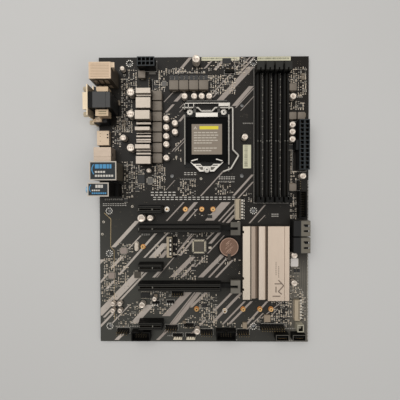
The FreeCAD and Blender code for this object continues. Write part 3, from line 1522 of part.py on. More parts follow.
def audio_ports():
    """The tall stack of sound jacks: a moulded body and a ring round each of three bores."""
    top = S.board_thickness
    face = S.port_face_u
    tall = block(face, S.audio_v, top, S.audio_depth, S.audio_width, S.audio_height)
    rear = block(face, S.audio_v, top, S.audio_rear_depth, S.audio_width, S.audio_rear_height)
    middle_v = S.audio_v + S.audio_width / 2
    levels = [top + S.jack_ring_radius * 2 + row * S.jack_row_pitch for row in range(3)]
    bores = [rod(face - S.running_gap, middle_v, level, S.jack_bore_radius,
                 S.port_mouth_depth, sides=FACETS) for level in levels]
    piece("audio_jack_body", cut(fused(tall, rear), *bores))
    rings = []
    for level in levels:
        ring = rod(face - S.jack_ring_length, middle_v, level, S.jack_ring_radius,
                   S.jack_ring_length, sides=2 * FACETS)
        hole = rod(face - S.jack_ring_length, middle_v, level, S.jack_bore_radius,
                   S.jack_ring_length, sides=FACETS)
        rings.append(cut(ring, hole))
    piece("audio_jack_rings", *rings)


def port_labels():
    """Printed stickers on top of the network stack and the sound stack."""
    lan = block(S.port_face_u, S.lan_v - S.shroud_wall / 2, S.board_thickness + S.lan_height,
                S.lan_depth + S.shroud_wall, S.lan_width + S.shroud_wall, S.label_thickness)
    audio = block(S.port_face_u, S.audio_v, S.board_thickness + S.audio_height, S.audio_depth,
                  S.audio_width, S.label_thickness)
    piece("port_labels", lan, audio)


# --- putting it together --------------------------------------------------------------------

def build():
    enter_sizes()
    circuit_board()
    solder_tails()
    socket_housing()
    socket_frame()
    socket_backplate()
    socket_screws()
    socket_lever()
    load_plate()
    socket_cover()
    memory_slots()
    expansion_slots()
    power_stage()
    power_heatsink()
    heatsink_fasteners()
    chipset()
    capacitors()
    power_sockets()
    headers()
    blades = storage_ports()
    card_sockets()
    chips()
    battery()
    usb_ports(blades)
    video_ports()
    audio_ports()
    port_labels()
    DOC.recompute()


def check():
    """Stop if any object failed or any sub-part has no valid shape."""
    for item in DOC.Objects:
        if "Invalid" in item.State or "Error" in item.State:
            raise RuntimeError("{} failed: {}".format(item.Name, item.State))
    for item in PIECES:
        if item.Shape.isNull() or not item.Shape.isValid():
            raise RuntimeError("{} has no valid shape".format(item.Label))


def write():
    os.makedirs("parts", exist_ok=True)
    for item in PIECES:
        item.Shape.exportStep("parts/{}.step".format(item.Label))
        print(item.Label, len(item.Shape.Solids), round(item.Shape.Volume, 1))


build()
check()
write()
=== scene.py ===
"""Looks of a full-size computer motherboard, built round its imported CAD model.

Board places are given as u, the distance in millimetres from the edge that carries the rear ports,
and v, the distance from the top edge; z is the height above the board's underside.
"""

import math

import bpy
import numpy as np
from bpy.props import FloatProperty, FloatVectorProperty, IntProperty, PointerProperty
from bpy.types import Operator, Panel, PropertyGroup
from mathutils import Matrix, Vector


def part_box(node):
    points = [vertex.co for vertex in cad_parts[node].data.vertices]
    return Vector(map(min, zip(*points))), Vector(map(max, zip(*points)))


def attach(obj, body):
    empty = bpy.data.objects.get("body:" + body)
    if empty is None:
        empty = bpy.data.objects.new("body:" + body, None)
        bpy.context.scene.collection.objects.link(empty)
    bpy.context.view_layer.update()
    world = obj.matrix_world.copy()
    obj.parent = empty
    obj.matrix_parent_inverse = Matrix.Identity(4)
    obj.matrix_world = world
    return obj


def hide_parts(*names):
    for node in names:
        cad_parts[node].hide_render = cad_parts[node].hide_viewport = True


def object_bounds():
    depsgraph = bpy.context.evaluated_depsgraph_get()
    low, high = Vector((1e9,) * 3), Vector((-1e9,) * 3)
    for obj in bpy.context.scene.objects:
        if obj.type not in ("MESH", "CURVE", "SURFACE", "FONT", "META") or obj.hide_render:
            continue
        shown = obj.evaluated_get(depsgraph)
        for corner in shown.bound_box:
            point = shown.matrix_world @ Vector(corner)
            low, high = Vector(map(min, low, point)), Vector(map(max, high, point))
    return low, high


bl_info = {
    "name": "Motherboard",
    "version": (1, 0, 0),
    "blender": (4, 5, 0),
    "location": "3D View > Sidebar > Motherboard",
    "description": "Dresses a packed motherboard with its printed board, sockets and small parts",
    "category": "Object",
}

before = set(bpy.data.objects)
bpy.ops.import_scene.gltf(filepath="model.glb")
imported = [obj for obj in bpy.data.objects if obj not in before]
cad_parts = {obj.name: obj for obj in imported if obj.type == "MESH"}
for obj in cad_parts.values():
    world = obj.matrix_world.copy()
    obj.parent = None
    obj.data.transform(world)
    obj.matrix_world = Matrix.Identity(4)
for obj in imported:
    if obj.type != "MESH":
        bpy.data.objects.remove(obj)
CAD_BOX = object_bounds()
BOARD_LOW, BOARD_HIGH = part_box("circuit_board")
MM = 0.001
TOP = BOARD_HIGH.z / MM
DEPTH = (BOARD_HIGH.x - BOARD_LOW.x) / MM
WIDTH = (BOARD_HIGH.y - BOARD_LOW.y) / MM
INK = 0.03  # height of a printed mark
FILM = 0.05  # height of a thin plate that lies on a part
SUNK = 0.02  # how far such a plate reaches into the part under it
CONTACT_STEP = 1.27  # between the contacts of a jack or of a storage port


def as_places(low, high):
    """A box in metres as board places: low u, low v, low z, high u, high v, high z."""
    return ((low[0] - BOARD_LOW.x) / MM, (BOARD_HIGH.y - high[1]) / MM, low[2] / MM,
            (high[0] - BOARD_LOW.x) / MM, (BOARD_HIGH.y - low[1]) / MM, high[2] / MM)


def span(node):
    """A CAD node's box as board places."""
    return as_places(*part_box(node))


# --- shapes: each is (points, faces), points in millimetres with y = -v ---

def merged(*shapes):
    """Several shapes as one: points in a row, face numbers moved on by the points before."""
    points, faces, count = [], [], 0
    for some_points, some_faces in shapes:
        points.append(some_points)
        faces += [block + count for block in some_faces]
        count += len(some_points)
    return np.concatenate(points), faces


def moved(shape, u=0.0, v=0.0, z=0.0):
    """The shape moved by a board distance."""
    return shape[0] + np.array([u, -v, z]), shape[1]


def copies(shape, places, turns=None, scales=None):
    """One copy at each (u, v, z), turned about its own upright axis and scaled if asked."""
    points, faces = shape
    places = np.asarray(places, float).reshape(-1, 3) * [1, -1, 1]
    count = len(places)
    cloud = np.repeat(points[None], count, 0)
    if scales is not None:
        cloud = cloud * np.asarray(scales, float).reshape(count, 1, -1)
    if turns is not None:
        angle = np.asarray(turns, float).reshape(-1, 1)
        x, y = cloud[..., 0].copy(), cloud[..., 1].copy()
        cloud[..., 0] = x * np.cos(angle) - y * np.sin(angle)
        cloud[..., 1] = x * np.sin(angle) + y * np.cos(angle)
    cloud = cloud + places[:, None]
    step = np.arange(count)[:, None, None] * len(points)
    return cloud.reshape(-1, 3), [(block[None] + step).reshape(-1, block.shape[1])
                                  for block in faces]


BOX_POINTS = np.array([[-.5, -.5, 0], [.5, -.5, 0], [.5, .5, 0], [-.5, .5, 0],
                       [-.5, -.5, 1], [.5, -.5, 1], [.5, .5, 1], [-.5, .5, 1]])
BOX_FACES = np.array([[0, 3, 2, 1], [4, 5, 6, 7], [0, 1, 5, 4], [1, 2, 6, 5], [2, 3, 7, 6],
                      [3, 0, 4, 7]])


def boxes(rows, turns=None):
    """Upright boxes from rows of (u, v, z, along u, along v, height), u and v at the middle."""
    rows = np.asarray(rows, float).reshape(-1, 6)
    sizes = rows[:, 3:]
    return copies((BOX_POINTS, [BOX_FACES]), rows[:, :3], turns, sizes)


def ring_faces(rows, steps):
    """Quads between neighbouring rings of a closed grid, numbered ring by ring."""
    row, step = np.meshgrid(np.arange(rows - 1), np.arange(steps), indexing="ij")
    after = (step + 1) % steps
    return np.stack([row * steps + step, row * steps + after, (row + 1) * steps + after,
                     (row + 1) * steps + step], -1).reshape(-1, 4)


def rounded_outline(half_u, half_v, radius, steps=4):
    """Corners of a rectangle replaced by quarter circles, counted anticlockwise."""
    turn = np.linspace(0, math.pi / 2, steps)
    quarters = [turn + quarter * math.pi / 2 for quarter in range(4)]
    signs = [(1, 1), (-1, 1), (-1, -1), (1, -1)]
    return np.concatenate([
        np.stack([sx * (half_u - radius) + radius * np.cos(angle),
                  sy * (half_v - radius) + radius * np.sin(angle)], -1)
        for angle, (sx, sy) in zip(quarters, signs)])


def capped(points, rows, steps):
    """Rings of points joined by quads, with a face over the first ring and over the last."""
    ring = np.arange(steps)[None]
    return points, [ring_faces(rows, steps), ring[:, ::-1], ring + steps * (rows - 1)]


def rounded_block(along_u, along_v, radius, levels, steps=4):
    """A rounded rectangle carried up a list of (z, inset), each ring drawn in by its inset."""
    rings = []
    for z, inset in levels:
        corner = max(radius - inset, 0.03)
        flat = rounded_outline(along_u / 2 - inset, along_v / 2 - inset, corner, steps)
        rings.append(np.column_stack([flat, np.full(len(flat), z)]))
    return capped(np.concatenate(rings), len(levels), 4 * steps)


def slab(along_u, along_v, height, radius=0.3, edge=0.15, steps=3):
    """A block with rounded upright corners and a small chamfer round its top."""
    return rounded_block(along_u, along_v, radius, [(0, 0), (height - edge, 0),
                                                    (height, edge)], steps)


def turned(profile, steps):
    """Rings of points: every (radius, z) of a profile carried round the upright axis."""
    profile = np.asarray(profile, float)
    turn = np.arange(steps) * 2 * math.pi / steps
    return np.stack([profile[:, :1] * np.cos(turn), profile[:, :1] * np.sin(turn),
                     np.repeat(profile[:, 1:], steps, 1)], -1).reshape(-1, 3)


def lathe(profile, steps=32):
    """A profile of (radius, z) turned about the upright axis; both ends lie on the axis."""
    count, step = len(profile) - 2, np.arange(steps)
    after, low, last = (step + 1) % steps, count * steps, (count - 1) * steps
    ends = [[0, 0, profile[0][1]], [0, 0, profile[-1][1]]]
    fans = [np.stack([np.full(steps, low), after, step], -1),
            np.stack([np.full(steps, low + 1), last + step, last + after], -1)]
    return (np.concatenate([turned(profile[1:-1], steps), ends]),
            [ring_faces(count, steps), np.concatenate(fans)])


def hollow_lathe(profile, steps=32):
    """A closed profile of (radius, z) turned about the upright axis, as for a ring."""
    count = len(profile)
    return turned(profile, steps), [ring_faces(count + 1, steps) % (count * steps)]


def disc(radius, low, high, steps):
    """A flat round plate between two levels."""
    return lathe([(0, low), (radius, low), (radius, high), (0, high)], steps)


def washer(inner, outer, low, high, steps):
    """A flat ring between two levels."""
    return hollow_lathe([(inner, low), (outer, low), (outer, high), (inner, high)], steps)


def tube(path, radius, sides=12):
    """A circle carried along a path: the path's own direction crossed with up gives its side."""
    path = np.asarray(path, float)
    along = np.gradient(path, axis=0)
    along /= np.linalg.norm(along, axis=1)[:, None]
    side = np.cross(along, [0, 0, 1.0])
    side /= np.linalg.norm(side, axis=1)[:, None]
    rise = np.cross(along, side)
    turn = np.arange(sides) * 2 * math.pi / sides
    points = (path[:, None] + radius * (np.cos(turn)[:, None] * side[:, None]
                                        + np.sin(turn)[:, None] * rise[:, None])).reshape(-1, 3)
    return capped(points, len(path), sides)


def bent_path(corners, bend, steps=6):
    """Straight runs joined by tangent arcs of the bend radius, as points along the way."""
    corners = np.asarray(corners, float)
    points = [corners[0]]
    for before, corner, after in zip(corners[:-2], corners[1:-1], corners[2:]):
        inward = (before - corner) / np.linalg.norm(before - corner)
        outward = (after - corner) / np.linalg.norm(after - corner)
        half = math.acos(np.clip(inward @ outward, -1, 1)) / 2
        trim = bend / math.tan(half)
        middle = (inward + outward) / np.linalg.norm(inward + outward)
        centre = corner + middle * (bend / math.sin(half))
        start, end = corner + inward * trim - centre, corner + outward * trim - centre
        share = np.linspace(0, 1, steps)[:, None]
        sweep = math.pi - 2 * half
        arc = (np.sin((1 - share) * sweep) * start + np.sin(share * sweep) * end)
        points += list(centre + arc / math.sin(sweep))
    return np.array(points + [corners[-1]])


def plate_of(outline, z, height):
    """A flat piece: an outline of (u, v) corners given a height."""
    flat = np.asarray(outline, float) * [1, -1]
    following = np.roll(flat, -1, 0)
    if np.sum(flat[:, 0] * following[:, 1] - following[:, 0] * flat[:, 1]) < 0:
        flat = flat[::-1]
    points = [np.column_stack([flat, np.full(len(flat), level)]) for level in (z, z + height)]
    return capped(np.concatenate(points), 2, len(flat))


def stroke_shape(line, width, z, height):
    """A straight mark of even width between two (u, v) points."""
    start, end = np.asarray(line, float)
    along = (end - start) / np.linalg.norm(end - start)
    side = np.array([-along[1], along[0]]) * width / 2
    return plate_of([start + side, end + side, end - side, start - side], z, height)


def band(outline, z, height):
    """A thin strip: one edge in (u, v), the other walked back, with quads from edge to edge."""
    half = len(outline) // 2
    base = np.column_stack([outline * [1, -1], np.full(2 * half, z)])
    steps = np.arange(half - 1)
    quads = np.stack([2 * half - 1 - steps, steps, steps + 1, 2 * half - 2 - steps], -1)
    return (np.concatenate([base, base + [0, 0, height]]),
            [ring_faces(2, 2 * half), quads[:, ::-1], quads + 2 * half])


def between(low_u, low_v, low_z, high_u, high_v, high_z):
    """A row for boxes() from two opposite corners."""
    return ((low_u + high_u) / 2, (low_v + high_v) / 2, low_z, high_u - low_u,
            high_v - low_v, high_z - low_z)


def frame_rows(low_u, low_v, high_u, high_v, z, width=0.5, height=FILM):
    """Rows for boxes() that make a thin frame round a rectangle."""
    along_u, along_v = high_u - low_u, high_v - low_v
    middle_u, middle_v = (low_u + high_u) / 2, (low_v + high_v) / 2
    return [(middle_u, low_v, z, along_u + width, width, height),
            (middle_u, high_v, z, along_u + width, width, height),
            (low_u, middle_v, z, width, along_v - width, height),
            (high_u, middle_v, z, width, along_v - width, height)]


def lead_rows(low_u, low_v, high_u, high_v, z, pitch, width, reach, out, height, inset):
    """Rows for boxes(): leads at a pitch along four sides, their middles out from the sides."""
    rows = []
    for at in np.arange(low_u + inset, high_u - inset + 0.2, pitch):
        rows += [(at, low_v - out, z, width, reach, height),
                 (at, high_v + out, z, width, reach, height)]
    for at in np.arange(low_v + inset, high_v - inset + 0.2, pitch):
        rows += [(low_u - out, at, z, reach, width, height),
                 (high_u + out, at, z, reach, width, height)]
    return rows


def laid_along_u(shape):
    """An upright shape laid down so that its own z runs along u, away from the rear edge."""
    x, y, z = shape[0].T
    return np.stack([z, y, -x], -1), shape[1]


def laid_against_u(shape):
    """An upright shape laid down so that its own z runs against u, out of the rear edge."""
    x, y, z = shape[0].T
    return np.stack([-z, y, x], -1), shape[1]


# --- pieces and finishes ---

def in_metres(points):
    """Board millimetres as the row frame's metres."""
    return points * MM + np.array([BOARD_LOW.x, BOARD_HIGH.y, 0.0])


def piece(name, parts, body="board", replaces=(), crease=35.0):
    """A new object from (shape, material) pairs, riding on a body of the frame."""
    shape = merged(*[form for form, _ in parts])
    materials = list(dict.fromkeys(paint for _, paint in parts))
    index = np.concatenate([np.full(len(block), materials.index(paint))
                            for form, paint in parts for block in form[1]])
    starts = np.concatenate([np.full(len(block), block.shape[1]) for block in shape[1]])
    mesh = bpy.data.meshes.new(name)
    points = in_metres(shape[0])
    mesh.vertices.add(len(points))
    mesh.vertices.foreach_set("co", points.astype(np.float32).ravel())
    corners = np.concatenate([block.ravel() for block in shape[1]])
    mesh.loops.add(len(corners))
    mesh.loops.foreach_set("vertex_index", corners.astype(np.int32))
    mesh.polygons.add(len(starts))
    mesh.polygons.foreach_set("loop_start", (np.cumsum(starts) - starts).astype(np.int32))
    mesh.polygons.foreach_set("material_index", index.astype(np.int32))
    for paint in materials:
        mesh.materials.append(paint)
    mesh.update(calc_edges=True)
    mesh.validate()
    mesh.shade_smooth()
    mesh.set_sharp_from_angle(angle=math.radians(crease))
    item = bpy.data.objects.new(name, mesh)
    bpy.context.scene.collection.objects.link(item)
    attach(item, body)
    if replaces:
        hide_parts(*replaces)
    return item


def dress(paint, *nodes):
    """Give CAD nodes a finish; their meshes stay as they are."""
    for node in nodes:
        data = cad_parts[node].data
        data.materials.clear()
        data.materials.append(paint)


def add_node(tree, kind, inputs, **settings):
    """A shader node with its settings; each input takes a value or a link from an output."""
    node = tree.nodes.new("ShaderNode" + kind)
    for name, value in settings.items():
        setattr(node, name, value)
    for name, value in inputs.items():
        if isinstance(value, bpy.types.NodeSocket):
            tree.links.new(value, node.inputs[name])
        else:
            node.inputs[name].default_value = value
    return node


def grain_group():
    """A shared effect: broad patches, fine grain and a height, from a scaled position."""
    group = bpy.data.node_groups.get("surface_grain")
    if group:
        return group
    group = bpy.data.node_groups.new("surface_grain", "ShaderNodeTree")
    for name, way, kind in (("Vector", "INPUT", "Vector"), ("Scale", "INPUT", "Float"),
                            ("Patches", "OUTPUT", "Float"), ("Grain", "OUTPUT", "Float"),
                            ("Height", "OUTPUT", "Float")):
        group.interface.new_socket(name=name, in_out=way, socket_type="NodeSocket" + kind)
    start, end = group.nodes.new("NodeGroupInput"), group.nodes.new("NodeGroupOutput")
    shrink = add_node(group, "Math", {0: start.outputs["Scale"], 1: 0.12}, operation="MULTIPLY")
    broad = add_node(group, "TexNoise", {"Vector": start.outputs["Vector"], "Detail": 2.0,
                                         "Scale": shrink.outputs[0]})
    fine = add_node(group, "TexNoise", {"Vector": start.outputs["Vector"], "Detail": 3.0,
                                        "Scale": start.outputs["Scale"]})
    both = add_node(group, "Math", {0: broad.outputs["Fac"], 1: fine.outputs["Fac"]},
                    operation="ADD")
    for name, output in (("Patches", broad.outputs["Fac"]), ("Grain", fine.outputs["Fac"]),
                         ("Height", both.outputs[0])):
        group.links.new(output, end.inputs[name])
    return group


def tinted(colour, share):
    """The colour made lighter or darker by a share."""
    return tuple(min(1.0, max(0.0, part * (1 + share))) for part in colour) + (1.0,)


def finish(name, colour, rough=0.5, metal=0.0, vary=0.12, scale=900.0, stretch=(1, 1, 1),
           bump=0.08, specular=0.5):
    """A worn or moulded surface: its colour and gloss drift with the shared grain."""
    paint = bpy.data.materials.get(name)
    if paint:
        return paint
    paint = bpy.data.materials.new(name)
    paint.use_nodes = True
    paint.diffuse_color = (*colour, 1.0)
    tree = paint.node_tree
    shader = tree.nodes["Principled BSDF"]
    shader.inputs["Metallic"].default_value = metal
    shader.inputs["Specular IOR Level"].default_value = specular
    where = add_node(tree, "TexCoord", {})
    spread = add_node(tree, "Mapping", {"Vector": where.outputs["Object"], "Scale": stretch})
    grain = add_node(tree, "Group", {}, node_tree=grain_group())
    grain.inputs["Scale"].default_value = scale
    tree.links.new(spread.outputs["Vector"], grain.inputs["Vector"])
    mix = add_node(tree, "Mix", {"Factor": grain.outputs["Patches"], "A": tinted(colour, -vary),
                                 "B": tinted(colour, vary)}, data_type="RGBA")
    gloss = add_node(tree, "MapRange", {"Value": grain.outputs["Grain"],
                                        "To Min": max(0.04, rough - 0.1),
                                        "To Max": min(1.0, rough + 0.1)})
    dent = add_node(tree, "Bump", {"Strength": bump, "Distance": 0.0002,
                                   "Height": grain.outputs["Height"]})
    for name, output in (("Base Color", mix.outputs["Result"]),
                         ("Roughness", gloss.outputs["Result"]),
                         ("Normal", dent.outputs["Normal"])):
        tree.links.new(output, shader.inputs[name])
    return paint


def srgb(red, green, blue):
    """A colour named on the usual 0 to 255 scale, as the linear shares that shaders take."""
    return tuple(((part / 255 + 0.055) / 1.055) ** 2.4 if part > 10 else part / 3300
                 for part in (red, green, blue))


def blended(paint, share, colour, under="A", over="B"):
    """Mix a colour into what feeds the base colour, by a share that changes over the surface."""
    tree = paint.node_tree
    base = tree.nodes["Principled BSDF"].inputs["Base Color"]
    mix = add_node(tree, "Mix", {"Factor": share, under: base.links[0].from_socket,
                                 over: (*colour, 1.0)}, data_type="RGBA")
    tree.links.new(mix.outputs["Result"], base)


def ramp(tree, value, low, high, start=0.0, end=1.0, smooth=False):
    """The share that a value gives as it goes from low to high."""
    kind = "SMOOTHSTEP" if smooth else "LINEAR"
    return add_node(tree, "MapRange", {"Value": value, "From Min": low, "From Max": high,
                                       "To Min": start, "To Max": end},
                    interpolation_type=kind).outputs["Result"]


def graded(paint, axis, low, high, low_colour):
    """Blend a second colour in below a level on one axis, both levels in metres."""
    tree = paint.node_tree
    where = add_node(tree, "TexCoord", {})
    split = add_node(tree, "SeparateXYZ", {"Vector": where.outputs["Object"]})
    share = ramp(tree, split.outputs[axis], low, high, smooth=True)
    blended(paint, share, low_colour, under="B", over="A")
    return paint


def black_plastic():
    return finish("moulded_black", srgb(18, 17, 15), 0.6, vary=0.25, scale=4000, bump=0.12,
                  specular=0.14)


def grey_plastic():
    return finish("moulded_grey", srgb(44, 43, 39), 0.6, vary=0.12, scale=4000, bump=0.12,
                  specular=0.25)


def bright_steel():
    return finish("nickel_steel", srgb(196, 190, 180), 0.42, 0.6, 0.08, 1500, (1, 0.15, 1), 0.06)


def tin():
    return finish("tinned_pad", srgb(196, 186, 170), 0.45, 0.3, 0.15, 2500, bump=0.2)


def gold():
    return finish("gold_plate", srgb(214, 168, 98), 0.3, 1.0, 0.08, 2500, bump=0.08)


def bronze():
    return finish("dull_bronze", srgb(84, 76, 60), 0.5, 0.5, 0.15, 2500, bump=0.08)


# --- what the CAD nodes say ---

def islands(node):
    """Boxes of a CAD node's loose parts, found by spreading the lowest number along edges."""
    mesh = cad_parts[node].data
    points = np.empty(len(mesh.vertices) * 3, np.float32)
    mesh.vertices.foreach_get("co", points)
    points = points.reshape(-1, 3)
    welded = np.unique(np.round(points / 2e-6).astype(np.int64), axis=0, return_inverse=True)[1]
    edges = np.empty(len(mesh.edges) * 2, np.int32)
    mesh.edges.foreach_get("vertices", edges)
    edges = welded.ravel()[edges.reshape(-1, 2)]
    label = np.arange(len(points))
    before = None
    while before is None or (label != before).any():
        before = label.copy()
        low = np.minimum(label[edges[:, 0]], label[edges[:, 1]])
        np.minimum.at(label, edges[:, 0], low)
        np.minimum.at(label, edges[:, 1], low)
    label = label[welded.ravel()]
    return np.array([as_places(points[label == part].min(0), points[label == part].max(0))
                     for part in np.unique(label)])


def middles(rows):
    """Middle u and v of boxes."""
    return np.column_stack([(rows[:, 0] + rows[:, 3]) / 2, (rows[:, 1] + rows[:, 4]) / 2])


# --- settings ---

class StageSettings(PropertyGroup):
    """Floor, lamps and camera"""
    camera_height: FloatProperty(
        name="Camera height", description="Height of the camera above the board's underside",
        default=0.3134, unit="LENGTH")
    camera_offset: FloatVectorProperty(
        name="Camera offset", description="Distance of the camera from above the board's middle",
        size=2, default=(-0.0006, 0.0046), unit="LENGTH")
    camera_tilt: FloatVectorProperty(
        name="Camera tilt", description="Small turns of a camera that looks straight down",
        size=3, default=(-0.0142, 0.0105, -0.0021), subtype="EULER", unit="ROTATION")
    lens: FloatProperty(name="Lens", description="Focal length in millimetres", default=26.19)
    floor_side: FloatProperty(
        name="Floor side", description="Side of the square floor", default=4.0, unit="LENGTH")
    sky: FloatProperty(
        name="Sky", description="Strength of the even light from all round", default=0.3)
    key: FloatProperty(
        name="Key lamp", description="Power of the wide lamp overhead", default=4.2,
        unit="POWER")


def millimetres(name, default, description):
    """A setting in millimetres of the board."""
    return FloatProperty(name=name, description=description + " in millimetres", default=default)


class CanSettings(PropertyGroup):
    """Capacitor cans"""
    foot_height: millimetres("Foot height", 0.9, "Height of the plastic foot")
    crimp: millimetres("Crimp", 0.25, "Depth of the groove near the foot")
    steps: IntProperty(name="Steps", description="Sides of each can", default=36)


class ChokeSettings(PropertyGroup):
    """Chokes and switching transistors of the power stages"""
    edge: millimetres("Edge", 0.35, "Rounding of a choke's top edge")
    lead_pitch: millimetres("Lead pitch", 1.27, "Distance between transistor leads")


# --- stage ---

def add_camera(context, settings, middle):
    """A level camera above the middle, turned by its small tilts."""
    camera = bpy.data.cameras.new("camera")
    camera.lens = settings.lens
    camera.clip_start = 0.01
    item = bpy.data.objects.new("camera", camera)
    item.location = (middle.x + settings.camera_offset[0],
                     middle.y + settings.camera_offset[1], settings.camera_height)
    item.rotation_euler = settings.camera_tilt
    context.scene.collection.objects.link(item)
    context.scene.camera = item


def add_lamp(context, name, place, side, power, target):
    """A square lamp at a place, facing the target."""
    lamp = bpy.data.lights.new(name, "AREA")
    lamp.size = side
    lamp.energy = power
    item = bpy.data.objects.new(name, lamp)
    item.location = place
    item.rotation_euler = (target - place).to_track_quat("-Z", "Y").to_euler()
    context.scene.collection.objects.link(item)


class MOTHERBOARD_OT_stage(Operator):
    """Make the pale floor, the soft lamps and the camera above the board"""
    bl_idname = "motherboard.stage"
    bl_label = "Stage"

    def execute(self, context):
        settings = context.scene.motherboard_stage
        half = settings.floor_side / 2
        level = CAD_BOX[0].z
        mesh = bpy.data.meshes.new("floor")
        mesh.from_pydata([(-half, -half, level), (half, -half, level), (half, half, level),
                          (-half, half, level)], [], [(0, 1, 2, 3)])
        mesh.materials.append(finish("pale_floor", (0.62, 0.61, 0.59), 0.8, vary=0.02,
                                     scale=40, bump=0.0))
        floor = bpy.data.objects.new("floor", mesh)
        context.scene.collection.objects.link(floor)
        middle = (BOARD_LOW + BOARD_HIGH) / 2
        add_camera(context, settings, middle)
        for name, shift, side, share in (("key_lamp", (-0.35, 0.45, 1.1), 1.1, 2.2),
                                         ("fill_lamp", (0.5, -0.2, 0.9), 0.8, 0.5)):
            add_lamp(context, name, middle + Vector(shift), side, settings.key * share, middle)
        world = bpy.data.worlds.new("soft_sky")
        world.use_nodes = True
        sky = world.node_tree.nodes["Background"]
        sky.inputs["Color"].default_value = (1.0, 0.99, 0.975, 1.0)
        sky.inputs["Strength"].default_value = settings.sky
        context.scene.world = world
        context.scene.view_settings.view_transform = "Standard"
        return {"FINISHED"}


# --- capacitors, chokes and transistors ---

def can_shape(radius, height, settings):
    """A can: a lathed wall with a groove above the foot and a shallow dished top."""
    foot, crimp = settings.foot_height, settings.crimp
    profile = [(0, foot - 0.1), (radius - 0.15, foot - 0.1), (radius, foot + 0.15),
               (radius, foot + 0.75), (radius - crimp, foot + 1.0), (radius, foot + 1.3),
               (radius, height - 0.75), (radius - 0.18, height - 0.28),
               (radius - 0.55, height - 0.04), (radius - 0.85, height),
               (radius - 1.05, height - 0.12), (0, height - 0.12)]
    return lathe(profile, settings.steps)


class MOTHERBOARD_OT_cans(Operator):
    """Put lathed metal cans on cut plastic feet over the three CAD groups of capacitors"""
    bl_idname = "motherboard.cans"
    bl_label = "Capacitors"

    def execute(self, context):
        settings = context.scene.motherboard_cans
        metal = finish("can_aluminium", srgb(226, 213, 198), 0.38, 0.6, 0.05, 1800, bump=0.04)
        foot = black_plastic()
        print_brown = finish("can_print", srgb(176, 154, 138), 0.6, vary=0.05, bump=0.02)
        score = finish("can_score", srgb(168, 160, 150), 0.45, 0.8, 0.1, 1800)
        for size in ("large", "medium", "small"):
            rows = islands(f"{size}_capacitors")
            radius = np.median(rows[:, 3] - rows[:, 0]) / 2
            height = rows[0, 5] - TOP
            places = np.column_stack([middles(rows), np.full(len(rows), TOP)])
            corner = radius * 0.3
            base = rounded_block(radius * 2, radius * 2, corner,
                                 [(0, 0), (settings.foot_height, 0)], 2)
            cross = boxes([(0, 0, height - 0.13, radius * 1.1, 0.16, 0.05),
                           (0, 0, height - 0.13, 0.16, radius * 1.1, 0.05)])
            stamp = boxes([(step * radius * 0.42, radius * 0.08, height - 0.12, radius * 0.26,
                            radius * 0.5, 0.03) for step in (-1, 0, 1)])
            piece(f"{size}_cans", [(copies(can_shape(radius, height, settings), places), metal),
                                   (copies(stamp, places), print_brown),
                                   (copies(base, places), foot),
                                   (copies(cross, places), score)],
                  replaces=(f"{size}_capacitors",))
        return {"FINISHED"}


class MOTHERBOARD_OT_chokes(Operator):
    """Put moulded chokes over their CAD solids and give the transistors their tinned leads"""
    bl_idname = "motherboard.chokes"
    bl_label = "Chokes and transistors"

    def execute(self, context):
        settings = context.scene.motherboard_chokes
        powder = finish("pressed_powder", srgb(122, 112, 100), 0.55, 0.25, 0.12, 5000, bump=0.3)
        parts = []
        for low_u, low_v, low_z, high_u, high_v, high_z in islands("chokes"):
            along_u, along_v, height = high_u - low_u, high_v - low_v, high_z - low_z
            edge = settings.edge
            body = rounded_block(along_u, along_v, 0.9,
                                 [(0, 0.2), (0.35, 0), (height - edge, 0),
                                  (height - edge * 0.3, edge * 0.3), (height, edge)])
            middle = ((low_u + high_u) / 2, (low_v + high_v) / 2)
            tabs = boxes([(middle[0], at, low_z, along_u * 0.3, 0.5, 1.6)
                          for at in (low_v + 0.1, high_v - 0.1)])
            parts += [(moved(body, *middle, low_z), powder), (tabs, tin())]
        piece("power_chokes", parts, replaces=("chokes",))
        steps = (np.arange(4) - 1.5) * settings.lead_pitch * 0.8
        leads = [(at, (low_v + high_v) / 2 + step, low_z, 0.5, 0.4, 0.25)
                 for low_u, low_v, low_z, high_u, high_v, _ in islands("mosfets")
                 for step in steps for at in (low_u - 0.1, high_u + 0.1)]
        piece("transistor_leads", [(boxes(leads), tin())])
        dress(finish("chip_epoxy", srgb(44, 43, 42), 0.42, vary=0.2, scale=5000, bump=0.12,
                     specular=0.35), "mosfets", "chipset_package")
        return {"FINISHED"}


# --- processor socket ---

class SocketSettings(PropertyGroup):
    """Lever, contacts and cover label of the processor socket"""
    wire_radius: millimetres("Wire radius", 1.0, "Radius of the lever's wire")
    bend: millimetres("Bend", 1.6, "Bend radius of the lever's wire")
    contact_pitch: millimetres("Contact pitch", 0.96, "Distance between contacts")


def lever_corners(settings):
    """Corners of the lever's wire, from the boxes of the lever and of the plate that it turns."""
    left, top_v, low_z, _, _, high_z = span("socket_lever")
    plate = span("load_plate")
    centre_u = (plate[0] + plate[3]) / 2
    pivot_v = top_v + settings.wire_radius
    level = (low_z + high_z) / 2
    half, slope, reach = 5.4, 3.6, 3.8
    side, jog_v = centre_u + 27.4, pivot_v + 44.1
    jog, back = 6.1, 13.9
    flat = [(left, pivot_v), (centre_u - half - slope, pivot_v),
            (centre_u - half, pivot_v + reach), (centre_u + half, pivot_v + reach),
            (centre_u + half + slope, pivot_v), (side, pivot_v), (side, jog_v),
            (side + jog, jog_v + jog), (side - jog / 3, jog_v + jog + back),
            (side - 10.1, jog_v + jog * 1.5 + back)]
    return [(u, -v, level) for u, v in flat]


PLATE_TOP = 7.4  # upper face of the closed load plate, in millimetres


